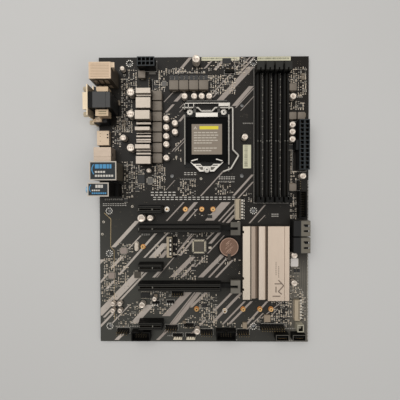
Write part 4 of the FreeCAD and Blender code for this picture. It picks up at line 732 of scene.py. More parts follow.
def add_trim(steel):
    """The bridge over the lever's bearings, dark plates of painted shade on the load plate's nose
    and at its ends, and pale ridges on the cover as painted highlights.
    """
    frame_box, plate, cover = span("socket_frame"), span("load_plate"), span("socket_cover")
    middle = (plate[0] + plate[3]) / 2
    low_u, top_v, level = frame_box[0], frame_box[1] + 2.95, frame_box[5]
    strips = [between(low_u + 1.2, top_v, level - 0.7, frame_box[3] + 0.4, top_v + 0.7,
                      level),
              between(frame_box[3] - 11.4, top_v + 0.7, level - 0.6, frame_box[3] + 0.4,
                      top_v + 3.45, level - 0.1)]
    strips += [between(low_u + start, top_v + 0.7, level - 0.6, low_u + start + 0.6,
                       top_v + 4.85, level - 0.1) for start in (0.2, 4.2, 9.8)]
    strips += [between(low_u + 0.2, top_v + 4.35, level - 0.6, low_u + 10.4, top_v + 4.85,
                       level - 0.1)]
    piece("bridge_trim", [(boxes(strips), steel)])
    # painted shade: dark plates and greyer wing plates over the load plate's nose
    shade = finish("nose_shadow", srgb(26, 25, 23), 0.5, vary=0.1, specular=0.15)
    recess = finish("nose_wing_shade", srgb(96, 92, 84), 0.5, 0.5, 0.1, 1500)
    nose, level = plate[4] - 12.1, PLATE_TOP
    dark = [[(-16.6, 1.9), (16.6, 1.9), (14.4, 4.1), (-14.4, 4.1)],
            [(-6.8, 4.1), (6.8, 4.1), (4.6, 6.6), (-4.6, 6.6)]]
    for side in (-1, 1):
        dark.append([(side * 12.0, 5.1), (side * 6.4, 5.1), (side * 5.6, 6.1), (side * 11.0, 6.1)])
    wings = [[(side * 9.3, 7.3), (side * 4.0, 7.3), (side * 4.0, 10.4), (side * 6.3, 10.4)]
             for side in (-1, 1)]
    parts = [(plate_of([(middle + u, nose + v) for u, v in outline], level, FILM), paint)
             for group, paint in ((dark, shade), (wings, recess)) for outline in group]
    tongue_top = plate[2] + 1.2
    parts.append((boxes([(middle, plate[1] + 6.2, tongue_top - SUNK, 9.0, 3.4, 0.12)]), steel))
    # painted shade: dark caps over both ends of the plate's bright band
    caps = [between(middle + start, plate[1] + 8.0, level - SUNK, middle + start + 2.6,
                    plate[1] + 12.65, level + FILM) for start in (-14.05, 11.45)]
    parts.append((boxes(caps), shade))
    piece("plate_details", parts, "plate")
    # painted highlights: pale ridges on the black cover
    ridge = finish("ridge_glint", srgb(196, 190, 180), 0.35, 0.5, 0.05, bump=0.03)
    ridges = [stroke_shape([(middle + side * 9.6, cover[4] - 2.5),
                            (middle + side * 16.2, cover[4] - 0.7)], 1.1, cover[5] - 3.38,
                           3.44) for side in (-1, 1)]
    piece("cover_ridges", [(merged(*ridges), ridge)], "cover")


def add_contacts(settings):
    """A grid of small gold domes with the middle left open."""
    low_u, low_v, _, high_u, high_v, high_z = span("socket_contacts")
    half = (high_u - low_u) / 2 - 0.6
    steps = np.arange(-half, half, settings.contact_pitch)
    u, v = np.meshgrid(steps, steps)
    open_middle = (abs(u) < 7.2) & (abs(v) < 7.2)
    u, v = u[~open_middle], v[~open_middle]
    rows = np.column_stack([u + (low_u + high_u) / 2, v + (low_v + high_v) / 2,
                            np.full(u.size, high_z), np.full(u.size, 0.42),
                            np.full(u.size, 0.3), np.full(u.size, 0.22)])
    piece("contact_tips", [(boxes(rows), gold())])
    dress(gold(), "socket_contacts")


def add_screws(steel):
    """Round heads with a dark star as the painted shade of a recess, over the CAD screws' own
    heads.
    """
    dark = finish("screw_recess_shade", (0.05, 0.05, 0.05), 0.6, 0.3)
    parts = []
    for low_u, low_v, _, high_u, high_v, high_z in islands("socket_screws"):
        radius = (high_u - low_u) / 2
        dome = lathe([(0, -0.8), (radius + 0.02, -0.8), (radius + 0.02, -0.25),
                      (radius - 0.35, 0.02), (radius * 0.55, 0.06), (0, 0.06)], 36)
        star = disc(radius * 0.34, 0.061, 0.09, 6)
        middle = ((low_u + high_u) / 2, (low_v + high_v) / 2)
        parts += [(moved(dome, *middle, high_z), steel), (moved(star, *middle, high_z), dark)]
    piece("screw_heads", parts)
    dress(steel, "socket_screws")


def add_notice():
    """A taupe notice with a yellow bar, rows of pale dashes and a plain chevron."""
    low_u, low_v, _, high_u, _, level = span("cover_label")
    side = high_u - low_u
    dress(finish("label_taupe", srgb(137, 124, 108), 0.6, vary=0.05, scale=600, bump=0.02),
          "cover_label")
    yellow = finish("label_yellow", srgb(226, 208, 44), 0.55, vary=0.03, bump=0.01)
    pale = finish("label_pale", srgb(196, 186, 170), 0.55, vary=0.04, bump=0.01)
    bar = boxes([(low_u + side * 0.57, low_v + side * 0.12, level, side * 0.62, side * 0.11, INK)])
    corners = np.array([(6, 17), (12, 7), (18, 17), (15, 17), (12, 12), (9, 17)]) / 100
    chevron = plate_of(corners * side + [low_u, low_v], level, INK)
    rows = []
    shares = (0.94, 0.98, 0.9, 0.96, 0.72, 0.0, 0.92, 0.7)
    for line, share in enumerate(shares):
        reach, start = side * 0.84 * share, low_u + side * 0.07
        for step in range(6 if share else 0):
            rows.append((start + reach * (step + 0.45) / 6, low_v + side * (0.28 + line * 0.085),
                         level, reach / 6 * 0.86, side * 0.032, 0.02))
    piece("cover_notice", [(bar, yellow), (chevron, pale), (boxes(rows), pale)], "cover")


class MOTHERBOARD_OT_socket(Operator):
    """Bend the lever's wire, fill the socket with contacts and lay out the cover's label"""
    bl_idname = "motherboard.socket"
    bl_label = "Processor socket"

    def execute(self, context):
        settings = context.scene.motherboard_socket
        steel = bright_steel()
        wire = tube(bent_path(lever_corners(settings), settings.bend), settings.wire_radius, 16)
        piece("lever_wire", [(wire, steel)], "lever", ("socket_lever",))
        dress(steel, "socket_backplate")
        # painted reflection: the load plate is dark steel in its 8.3 mm strip nearest the board's
        # top edge and bright steel beyond
        reflected_plate = finish("plate_steel_reflection", srgb(62, 60, 56), 0.42, 0.6, 0.08, 1500)
        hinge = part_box("load_plate")[1].y - 0.0083
        dress(graded(reflected_plate, "Y", hinge, hinge + 0.0004, srgb(206, 200, 190)), "load_plate")
        # painted reflection: the frame steel is dark in its strip nearest the board's top edge,
        # bright elsewhere and grey along its left edge; painted shade: near black below 3.6 mm
        frame_steel = finish("frame_steel", srgb(78, 76, 72), 0.42, 0.7, 0.08, 1500)
        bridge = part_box("socket_frame")[1].y - 0.0036
        graded(frame_steel, "Y", bridge, bridge + 0.0006, srgb(164, 159, 150))
        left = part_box("socket_frame")[0].x
        graded(frame_steel, "X", left + 0.0012, left + 0.0014, srgb(122, 118, 110))
        dress(graded(frame_steel, "Z", 0.0036, 0.0046, srgb(20, 19, 18)), "socket_frame")
        dress(black_plastic(), "socket_housing")
        dress(finish("cover_black", srgb(5, 5, 4), 0.5, vary=0.2, scale=3000, bump=0.05,
                     specular=0.06), "socket_cover")
        add_contacts(settings)
        add_screws(steel)
        add_notice()
        add_trim(steel)
        return {"FINISHED"}


# --- metal blocks ---

class HeatsinkSettings(PropertyGroup):
    """Heatsinks of the power stage and of the chipset"""
    stroke: millimetres("Stroke", 1.2, "Width of the engraved strokes")


def add_strokes(settings):
    """Plain slanted strokes and a row of dashes on the wide face of the chipset heatsink."""
    low_u, low_v, _, _, _, high_z = span("chipset_heatsink")
    ink = finish("engraved_stroke", srgb(132, 116, 102), 0.6, 0.3, bump=0.02)
    width = settings.stroke
    u, v = low_u + 33.0, low_v + 64.0
    lines = [[(u, v - 4), (u + 7, v - 4)], [(u + 1.5, v - 1), (u + 1.5, v + 5)],
             [(u + 4, v - 8), (u + 9.5, v - 2)], [(u + 9.5, v - 2), (u + 4, v + 4)],
             [(u + 4, v + 4), (u + 7.5, v + 7)], [(u - 2, v + 9), (u + 6, v + 9)]]
    parts = [(stroke_shape(line, width, high_z, 0.04), ink) for line in lines]
    dashes = [(low_u + 34.5, low_v + 38 + step * 2.0, high_z, 0.7, 1.5, 0.04) for step in range(7)]
    dashes += [(low_u + 37.3, low_v + 42 + step * 1.8, high_z, 0.7, 1.3, 0.04)
               for step in range(7)]
    parts.append((boxes(dashes), ink))
    piece("heatsink_strokes", parts)


class MOTHERBOARD_OT_heatsinks(Operator):
    """Give the heatsinks a drawn metal finish with painted light and shade, engraved strokes and
    spring fasteners
    """
    bl_idname = "motherboard.heatsinks"
    bl_label = "Heatsinks"

    def execute(self, context):
        settings = context.scene.motherboard_heatsinks
        silver = finish("drawn_silver", srgb(172, 161, 148), 0.45, 0.7, 0.05, 1400,
                        (0.2, 1, 1), 0.08)
        # painted shade: the power heatsink turns near black below 12.5 mm
        graded(silver, "Z", 0.0125, 0.0165, srgb(24, 22, 20))
        champagne = finish("drawn_champagne", srgb(204, 186, 168), 0.45, 0.7, 0.05, 1400,
                           (1, 0.08, 1), 0.08)
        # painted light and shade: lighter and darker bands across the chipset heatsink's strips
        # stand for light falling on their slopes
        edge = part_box("chipset_heatsink")[0].x
        graded(champagne, "X", edge + 0.0170, edge + 0.0260, srgb(212, 196, 180))
        graded(champagne, "X", edge + 0.0150, edge + 0.0170, srgb(172, 154, 138))
        graded(champagne, "X", edge + 0.0086, edge + 0.0096, srgb(214, 200, 182))
        # painted shade: darker below 10.1 mm, down in the grooves
        graded(champagne, "Z", 0.0066, 0.0101, srgb(124, 110, 96))
        dress(silver, "power_heatsink")
        dress(champagne, "chipset_heatsink")
        dress(finish("pad_grey", srgb(150, 150, 155), 0.9, bump=0.3), "thermal_pads")
        dress(finish("fastener_black", (0.03, 0.03, 0.03), 0.5), "heatsink_fasteners")
        add_strokes(settings)
        return {"FINISHED"}


# --- printed board ---

class BoardSettings(PropertyGroup):
    """Solder mask and printed marks"""
    ink_height: millimetres("Ink height", INK, "Thickness of the printed marks")
    keep_out: millimetres("Keep-out", 4.1, "Bare ring left round a fixing hole")
    via_count: IntProperty(
        name="Vias", description="Number of plated through-points tried", default=900)


# Mounting holes and the holes for the cooler, as (u, v).
FIXING_HOLES = [(10.16, 163.83), (10.16, 209.55), (10.16, 288.29), (165.1, 6.35),
                (165.1, 163.83), (165.1, 288.29), (33.02, 6.35)]
COOLER_HOLES = [(77.7, 51.3), (152.7, 51.3), (77.7, 126.3), (152.7, 126.3)]

# Slanted stripes: u and v of the lower end, u and v of the upper end, width along u.
STRIPES = [
    (86.5, 11.8, 96.2, 0.5, 3.6), (81.6, 17.6, 86.2, 12.2, 1.7), (112.4, 12.0, 119.4, 4.4, 2.0),
    (122.4, 13.4, 130.6, 4.4, 3.6), (125.4, 46.4, 159.0, 10.6, 7.2),
    (118.6, 41.0, 149.0, 8.6, 1.4), (147.6, 19.0, 164.6, 0.5, 2.4), (151.0, 10.8, 160.6, 0.5, 1.6),
    (141.8, 52.0, 160.2, 31.2, 5.2), (145.4, 54.0, 164.8, 33.2, 1.3),
    (151.0, 57.0, 165.2, 41.8, 0.9), (121.0, 43.0, 126.6, 37.2, 1.4),
    (69.0, 47.6, 78.6, 37.4, 1.1), (79.8, 47.0, 88.0, 38.2, 4.2), (70.4, 58.6, 78.4, 50.0, 2.7),
    (86.0, 53.8, 91.2, 48.4, 0.9), (85.6, 58.4, 91.2, 52.6, 0.9), (84.6, 68.2, 90.8, 60.8, 2.8),
    (77.4, 100.2, 92.2, 84.6, 1.1), (80.6, 100.2, 92.2, 88.0, 0.9),
    (71.0, 141.4, 80.6, 131.0, 0.8), (107.8, 148.0, 132.8, 120.6, 1.6),
    (142.6, 147.6, 162.8, 125.2, 2.7), (147.6, 150.4, 163.8, 132.8, 1.8),
    (71.0, 174.6, 89.6, 154.6, 1.7), (83.6, 174.6, 101.4, 154.6, 4.4),
    (92.8, 174.6, 104.2, 161.8, 1.7), (113.2, 174.2, 130.8, 154.6, 9.6),
    (127.0, 175.0, 144.0, 156.4, 1.8), (131.2, 176.2, 144.4, 161.6, 2.0),
    (135.6, 176.8, 143.4, 168.2, 3.4), (159.8, 177.2, 176.6, 157.6, 1.8),
    (169.6, 176.2, 177.0, 168.6, 1.0), (-5.2, 221.6, 38.0, 174.6, 5.0),
    (10.8, 224.6, 22.0, 213.0, 4.0), (30.0, 204.6, 43.4, 190.4, 1.5),
    (19.0, 232.8, 58.8, 188.0, 2.9), (46.6, 214.2, 72.6, 187.0, 2.3),
    (52.4, 214.4, 67.0, 198.8, 7.6), (63.2, 214.4, 70.2, 206.4, 5.0),
    (-9.6, 279.0, 38.2, 229.8, 9.4), (2.4, 279.0, 48.6, 230.2, 2.6),
    (-1.4, 241.4, 6.8, 231.8, 2.6), (5.4, 248.0, 14.0, 238.8, 2.9),
    (-6.6, 294.0, 12.0, 274.6, 3.0), (66.6, 277.4, 90.4, 251.6, 8.6),
    (75.2, 287.8, 103.8, 251.6, 5.4), (67.6, 295.4, 101.4, 251.6, 1.5),
    (32.0, 285.4, 50.0, 265.2, 8.2), (105.4, 235.4, 129.6, 210.8, 5.8),
    (116.2, 235.6, 135.4, 214.6, 2.2), (123.6, 235.6, 141.6, 216.6, 2.5),
    (97.6, 228.8, 111.2, 214.4, 1.5), (81.2, 210.2, 98.4, 188.4, 1.3),
    (85.0, 212.0, 99.6, 193.8, 2.6), (75.2, 235.2, 96.8, 213.4, 6.2),
    (60.4, 235.6, 98.4, 191.0, 1.4), (86.4, 235.4, 99.6, 221.2, 3.4),
    (56.0, 235.6, 62.0, 229.4, 3.2), (114.0, 194.4, 122.2, 186.6, 1.8),
    (116.8, 199.0, 127.2, 187.0, 3.5), (115.4, 209.6, 133.0, 190.4, 1.3),
    (121.2, 271.8, 140.6, 251.8, 3.0), (119.8, 284.2, 150.4, 252.0, 3.6),
    (95.4, 268.0, 112.4, 251.8, 4.0), (130.8, 286.2, 154.6, 261.2, 2.3),
    (137.2, 286.2, 161.6, 261.2, 3.0), (156.2, 286.2, 178.6, 261.2, 2.7),
    (153.8, 295.0, 174.8, 274.0, 1.6), (172.8, 279.6, 196.4, 260.4, 1.3),
    (176.2, 284.4, 190.0, 270.4, 1.0), (97.4, 296.4, 112.0, 281.4, 2.4),
    (15.0, 303.4, 22.0, 296.4, 4.6), (60.0, 303.4, 72.4, 291.0, 3.6),
    (140.0, 303.4, 150.0, 293.0, 2.0), (12.2, 285.0, 31.0, 265.0, 1.6),
]

# Plain marks in rows where a board carries its lettering: u, v, reach, height, number.
MARK_ROWS = [
    (57.0, 150.4, 89.0, 3.2, 19), (54.4, 145.4, 28.0, 4.0, 6), (3.0, 157.0, 26.0, 2.6, 10),
    (5.0, 151.4, 20.0, 1.2, 9), (127.6, 128.6, 18.0, 2.8, 7), (128.0, 132.6, 17.0, 1.2, 9),
    (90.4, 124.0, 14.0, 2.8, 4), (86.0, 130.0, 18.0, 1.0, 8), (153.4, 70.6, 11.4, 1.0, 5),
    (208.6, 43.0, 9.0, 1.0, 4), (186.0, 290.6, 30.0, 0.9, 12), (16.0, 288.6, 28.0, 0.9, 11),
    (72.0, 298.6, 6.0, 0.9, 3), (128.0, 303.0, 20.0, 0.9, 9), (176.0, 154.4, 24.0, 0.8, 8),
    (44.6, 189.2, 9.6, 1.4, 4), (184.0, 168.6, 8.0, 3.0, 4), (200.0, 303.4, 18.0, 0.9, 7),
    (90.0, 16.0, 8.0, 0.8, 4), (4.0, 249.0, 8.0, 0.8, 4), (4.0, 281.0, 1.2, 0.8, 1),
]


def stripe_shape(stripe, z, height, hole_gap):
    """A slanted band cut level at both ends: rows of two edges, opened round a fixing hole."""
    low_u, low_v, high_u, high_v, width = stripe
    rows = np.linspace(low_v, high_v, 25)
    left = np.interp(rows, [high_v, low_v], [high_u, low_u])
    left, right = np.clip([left, left + width], 0.2, DEPTH - 0.2)
    for hole_u, hole_v in FIXING_HOLES:
        middle = np.interp(hole_v, rows[::-1], ((left + right) / 2)[::-1])
        if not high_v + hole_gap < hole_v < low_v - hole_gap or abs(middle - hole_u) > width:
            continue
        reach = hole_gap + width / 2
        return merged(*[stripe_shape(part, z, height, 0) for part in (
            (low_u, low_v, np.interp(hole_v + reach, rows[::-1], left[::-1]),
             hole_v + reach, width),
            (np.interp(hole_v - reach, rows[::-1], left[::-1]), hole_v - reach, high_u, high_v,
             width))])
    keep = right - left > 0.05
    left, right, rows = left[keep], right[keep], rows[keep]
    return band(np.concatenate([np.column_stack([right, rows]),
                                np.column_stack([left, rows])[::-1]]), z, height)


def mask_material():
    """Dark mask with slanted traces: a painted sheen lightens it towards the lower rear corner,
    and a second painted sheen towards the lower far corner.
    """
    paint = finish("solder_mask", srgb(27, 24, 20), 0.45, 0.0, 0.15, 700, bump=0.05, specular=0.18)
    tree = paint.node_tree
    where = add_node(tree, "TexCoord", {}).outputs["Object"]
    split = add_node(tree, "SeparateXYZ", {"Vector": where}).outputs
    # painted sheen: the mask is lightened towards the lower rear corner
    slope = add_node(tree, "Math", {0: split["X"], 1: 0.75, 2: split["Y"]},
                     operation="MULTIPLY_ADD")
    corner = ramp(tree, slope.outputs["Value"], -0.10, 0.08, 0.85, 0.0, smooth=True)
    blended(paint, corner, srgb(76, 76, 71))
    lanes = add_node(tree, "TexWave", {"Vector": where, "Scale": 260.0, "Distortion": 5.0,
                                       "Detail": 1.0, "Detail Scale": 0.15},
                     wave_type="BANDS", bands_direction="DIAGONAL")
    blended(paint, ramp(tree, lanes.outputs["Fac"], 0.80, 0.95, end=0.35), srgb(66, 60, 52))
    # painted sheen: a lighter patch towards the lower far corner, its share held by the variable
    # called copper
    edge, top = CAD_BOX[1].x, CAD_BOX[1].y
    across = ramp(tree, split["X"], edge - 0.024, edge - 0.016, end=0.75)
    down = ramp(tree, split["Y"], top - 0.232, top - 0.206, 1.0, 0.0)
    copper = add_node(tree, "Math", {0: across, 1: down}, operation="MULTIPLY")
    blended(paint, copper.outputs["Value"], srgb(112, 107, 97))
    return paint


def add_marks(settings):
    """Rows of plain dashes and outlines round the slots and headers."""
    pale = finish("mark_ink", srgb(204, 198, 188), 0.6, vary=0.05, bump=0.02)
    rows = []
    for u, v, reach, height, number in MARK_ROWS:
        pitch = reach / number
        rows += [(u + pitch * (step + 0.5), v + height * (line - 0.5) * 0.72, TOP,
                  pitch * 0.66, height * 0.26, settings.ink_height * 1.5)
                 for step in range(number) for line in (0, 1)]
    nodes = ["processor_power_socket", "main_power_socket"]
    nodes += [f"dimm_slot_{number}" for number in range(1, 5)]
    boxes_round = [span(node) for node in nodes]
    for low_u, low_v, _, high_u, high_v, _ in boxes_round + list(islands("header_bases")):
        rows += frame_rows(low_u - 0.7, low_v - 0.7, high_u + 0.7, high_v + 0.7, TOP, 0.22, INK)
    piece("board_marks", [(boxes(rows), pale)])


PETAL_CIRCLE = 3.2  # radius on which the petals of a fixing hole lie, in millimetres


def add_pads(settings):
    """Petals round the fixing holes, plated rings, one bare trace, a grey patch of painted
    reflection, painted glints along the far edge and scattered vias.
    """
    plated = tin()
    petals, turns = [], []
    for hole_u, hole_v in FIXING_HOLES:
        for step in range(10):
            angle = step * math.pi / 5
            petals.append((hole_u + PETAL_CIRCLE * math.cos(angle),
                           hole_v - PETAL_CIRCLE * math.sin(angle),
                           TOP, 1.15, 0.95, FILM))
            turns.append(angle)
    small_rings = copies(washer(0.7, 1.3, TOP, TOP + 0.04, 24),
                         [(31.3, 78.0, 0), (35.0, 159.0, 0), (4.0, 175.6, 0),
                          (2.6, 188.8, 0), (109.0, 129.4, 0)])
    bright = finish("petal_tin_and_edge_glint", srgb(230, 224, 213), 0.45, 0.15, 0.08, bump=0.03)
    piece("hole_petals", [(boxes(petals, turns), bright), (small_rings, plated)])
    route = [(4.8, 165.9), (11.9, 172.5), (11.5, 202.7), (15.2, 206.4), (15.2, 281.8)]
    copper = finish("bare_trace", srgb(172, 150, 110), 0.4, 0.5, 0.05, bump=0.05)
    piece("guard_trace", [(stroke_shape(pair, 0.5, TOP, FILM), copper)
                          for pair in zip(route[:-1], route[1:])])
    runs = [[(218.9, 212.0), (218.9, 249.6)], [(218.9, 249.6), (213.6, 255.4)],
            [(206.4, 232.6), (214.0, 232.6)], [(216.6, 214.0), (216.6, 246.0)],
            [(220.6, 214.0), (220.6, 296.0)], [(214.6, 236.0), (214.6, 244.6)]]
    gap_ink = finish("trace_gap", srgb(44, 40, 35), 0.5, bump=0.02)
    piece("trace_gaps", [(stroke_shape(run, 0.4, TOP, INK), gap_ink) for run in runs])
    # painted reflection: a grey patch on the mask near the top edge
    patch = finish("grey_patch", srgb(108, 103, 96), 0.6, vary=0.2, scale=1500, bump=0.1)
    piece("board_patch", [(plate_of([(53.4, 9.4), (58.8, 9.4), (61.0, 18.0), (53.8, 18.0)],
                                    TOP, FILM), patch)])
    # painted highlights: pale glints along the far edge, in the petals' tin finish
    random = np.random.default_rng(5)
    at = np.arange(132, 302, 1.6)
    glints = np.column_stack([np.full(len(at), DEPTH - 0.45), at, np.full(len(at), TOP),
                              np.full(len(at), 0.5), random.uniform(0.5, 1.1, len(at)),
                              np.full(len(at), INK)])
    piece("edge_glints", [(boxes(glints), bright)])
    random = np.random.default_rng(7)
    spots = random.uniform([3, 3], [DEPTH - 3, WIDTH - 3], (settings.via_count, 2))
    spots = spots[clear_of_parts(spots, 0.8)]
    via = finish("via_plating", srgb(120, 108, 90), 0.45, 0.5, 0.1, bump=0.02)
    places = np.column_stack([spots, np.full(len(spots), TOP)])
    piece("vias", [(copies(disc(0.24, 0, INK, 8), places), via)])


class MOTHERBOARD_OT_print(Operator):
    """Lay the solder mask, the slanted stripes and the printed marks on the board"""
    bl_idname = "motherboard.print"
    bl_label = "Printed board"

    def execute(self, context):
        settings = context.scene.motherboard_print
        dress(mask_material(), "circuit_board")
        ink = finish("stripe_ink", srgb(160, 148, 138), 0.5, 0.0, 0.07, 900, bump=0.05)
        # painted sheen: stripes in the lower rear corner get a lighter ink, matching the mask's
        # painted sheen there
        sheen_ink = finish("stripe_ink_sheen", srgb(186, 175, 164), 0.5, 0.0, 0.16, 700, bump=0.05)
        parts = [(stripe_shape(stripe, TOP, settings.ink_height, settings.keep_out),
                  sheen_ink if stripe[1] > 190 and stripe[0] < 60 else ink)
                 for stripe in STRIPES]
        piece("board_stripes", parts)
        add_marks(settings)
        add_pads(settings)
        return {"FINISHED"}


def standing_parts():
    """Footprints of everything that stands on the board, as u, v boxes."""
    flat = ("circuit_board", "cover_label", "port_labels")
    bracket = [(17.1, 46.8, TOP, 21.7, 62.2, 10.0)]
    rows = np.concatenate([islands(node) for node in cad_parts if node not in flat]
                          + [bracket])
    return rows[rows[:, 5] > TOP + 0.1]


FOOTPRINTS = standing_parts()


HOLE_RING = 4.4  # radius kept free round a fixing hole, in millimetres


def clear_of_parts(spots, margin):
    """Which (u, v) spots are clear of every footprint and hole by a margin."""
    u, v = spots[:, 0, None], spots[:, 1, None]
    boxed = ((u > FOOTPRINTS[:, 0] - margin) & (u < FOOTPRINTS[:, 3] + margin)
             & (v > FOOTPRINTS[:, 1] - margin) & (v < FOOTPRINTS[:, 4] + margin)).any(1)
    holes = np.array(FIXING_HOLES + COOLER_HOLES)
    near = (np.hypot(u - holes[:, 0], v - holes[:, 1]) < HOLE_RING + margin).any(1)
    return ~boxed & ~near


# --- small surface parts ---

class SmallPartSettings(PropertyGroup):
    """Resistors, capacitors and other small parts soldered to the face of the board"""
    seed: IntProperty(name="Seed", description="Starts the scatter of small parts", default=3)
    pitch_u: millimetres("Pitch along u", 2.5, "Step between small parts")
    pitch_v: millimetres("Pitch along v", 1.55, "Step between small parts")


# Fields of small parts: low u, low v, high u, high v, share of the places that are filled.
FIELDS = [
    (22, 14, 42, 33, 0.55), (14, 64, 36, 80, 0.9), (24, 30, 36, 64, 0.65), (14, 80, 24, 95, 0.4),
    (56, 25, 73, 37, 0.7), (72, 12, 118, 16, 0.5), (118, 20, 146, 40, 0.8), (146, 2, 163, 20, 0.7),
    (118, 4, 146, 14, 0.5), (66, 16, 118, 26, 0.65), (201, 12, 222, 42, 0.75),
    (201, 48, 220, 57, 0.75), (200, 88, 208, 124, 0.95), (206, 118, 222, 128, 0.6),
    (203, 128, 212, 150, 0.5), (204, 150, 211, 172, 0.6), (36, 117, 50, 142, 0.6),
    (57, 112, 71, 142, 0.75), (86, 132, 106, 149, 0.4), (126, 134, 146, 147, 0.55),
    (18, 112, 36, 150, 0.5), (156, 146, 166, 154, 0.5), (20, 198, 36, 216, 0.5),
    (4, 216, 30, 246, 0.6), (2, 242, 18, 262, 0.5), (70, 186, 98, 192, 0.4),
    (95, 185, 122, 192, 0.55), (97, 212, 116, 221, 0.55), (78, 195, 97, 212, 0.3),
    (74, 225, 104, 238, 0.4), (54, 250, 76, 276, 0.5), (30, 262, 46, 276, 0.4),
    (16, 274, 44, 289, 0.35), (108, 252, 126, 284, 0.6), (84, 277, 126, 290, 0.45),
    (186, 258, 207, 288, 0.6), (203, 178, 206, 258, 0.3), (160, 279, 184, 292, 0.5),
    (126, 284, 160, 292, 0.35), (149, 183, 152.4, 258, 0.3), (216, 258, 222, 282, 0.5),
    (70, 60, 92, 66, 0.25), (74, 90, 92, 112, 0.3), (128, 212, 146, 220, 0.45),
    (100, 163, 113, 170, 0.35), (38, 20, 43, 40, 0.3), (205, 24, 222, 30, 0.4),
    (38, 86, 44, 112, 0.0), (184, 277, 200, 290, 0.55), (206, 246, 221, 258, 0.5),
    (205, 232, 214, 246, 0.4), (60, 200, 71, 214, 0.2),
]


def add_chip_leads():
    """Leads along the sides of the CAD chips."""
    leads = []
    for low_u, low_v, low_z, high_u, high_v, _ in islands("chip_packages"):
        pitch = 0.65 if high_u - low_u > 10 else 0.8
        leads += lead_rows(low_u, low_v, high_u, high_v, low_z, pitch, pitch * 0.5, 1.1,
                           0.45, 0.18, 0.8)
    piece("chip_leads", [(boxes(leads), tin())])


class MOTHERBOARD_OT_small_parts(Operator):
    """Scatter tinned-end capacitors and resistors over the named fields, and give the chips their
    leads
    """
    bl_idname = "motherboard.small_parts"
    bl_label = "Small surface parts"

    def execute(self, context):
        settings = context.scene.motherboard_small_parts
        random = np.random.default_rng(settings.seed)
        spots = []
        for low_u, low_v, high_u, high_v, share in FIELDS:
            u, v = np.meshgrid(np.arange(low_u, high_u, settings.pitch_u),
                               np.arange(low_v, high_v, settings.pitch_v))
            grid = np.column_stack([u.ravel(), v.ravel()])
            spots.append(grid[random.random(len(grid)) < share])
        spots = np.concatenate(spots)
        spots = spots[clear_of_parts(spots, 1.2)]
        kept = np.unique(np.round(spots / [settings.pitch_u, settings.pitch_v]), axis=0)
        spots = kept * [settings.pitch_u, settings.pitch_v]
        spots = spots[clear_of_parts(spots, 1.0)]
        kind = random.random(len(spots))
        turn = np.where(random.random(len(spots)) < 0.35, math.pi / 2, 0.0)
        size = random.choice([0.62, 0.8, 0.98, 1.12], len(spots), p=[0.3, 0.25, 0.35, 0.1])
        spots += random.uniform(-0.2, 0.2, spots.shape)
        tan = finish("ceramic_tan", srgb(186, 165, 138), 0.5, vary=0.25, scale=3000, bump=0.1)
        ends_tin = finish("part_end_tin", srgb(232, 222, 206), 0.4, 0.15, 0.15, 2500, bump=0.1)
        dark = finish("resistor_black", (0.02, 0.02, 0.022), 0.35, vary=0.2, scale=3000)
        parts = []
        for paint, chosen, height in ((tan, kind < 0.62, 0.75), (dark, kind >= 0.62, 0.45)):
            some, angle, scale = spots[chosen], turn[chosen], size[chosen]
            body = boxes(np.column_stack([some, np.full(len(some), TOP + 0.03),
                                          0.95 * scale, 0.78 * scale, height * scale]), angle)
            parts.append((body, paint))
            for side in (-1, 1):
                shift = np.column_stack([np.cos(angle), -np.sin(angle)]) * side * 0.66
                ends = np.column_stack([some + shift * scale[:, None],
                                        np.full(len(some), TOP), 0.42 * scale, 0.86 * scale,
                                        height * scale + 0.07])
                parts.append((boxes(ends, angle), ends_tin))
        piece("surface_parts", parts)
        add_chip_leads()
        return {"FINISHED"}


# --- rear ports ---

class PortSettings(PropertyGroup):
    """Rear ports: shells, contacts and brackets"""
    rib_pitch: millimetres("Rib pitch", 1.5, "Distance between the ribs on a shell")
    wire: millimetres("Wire", 0.4, "Width of a contact wire")


def across(shape, u, v, z):
    """An upright shape laid down along u and moved, for parts in a rear port."""
    return moved(laid_along_u(shape), u, v, z)


def port_shadow():
    return finish("port_shadow", srgb(12, 12, 11), 0.7, specular=0.1)


def add_keyboard_insert():
    """The keyboard socket: a ringed insert with six pin holes and a key."""
    low_u, low_v, _, _, high_v, high_z = span("ps2_usb_shell")
    middle, level = (low_v + high_v) / 2, high_z - 7.4
    lilac = finish("keyboard_lilac", srgb(104, 86, 128), 0.5, vary=0.08, bump=0.05)
    parts = [(across(disc(5.0, 0, 0.9, 40), low_u + 2.2, middle, level), lilac)]
    dark, hole = port_shadow(), disc(0.55, 0, 0.12, 12)
    for step in range(6):
        angle = math.pi / 6 + step * math.pi / 3
        parts.append((across(hole, low_u + 2.09, middle + 3.3 * math.cos(angle),
                             level + 3.3 * math.sin(angle)), dark))
    parts.append((boxes([between(low_u + 2.05, middle - 1, level - 0.9, low_u + 2.25,
                                 middle + 1, level + 0.9)]), dark))
    piece("keyboard_insert", parts)


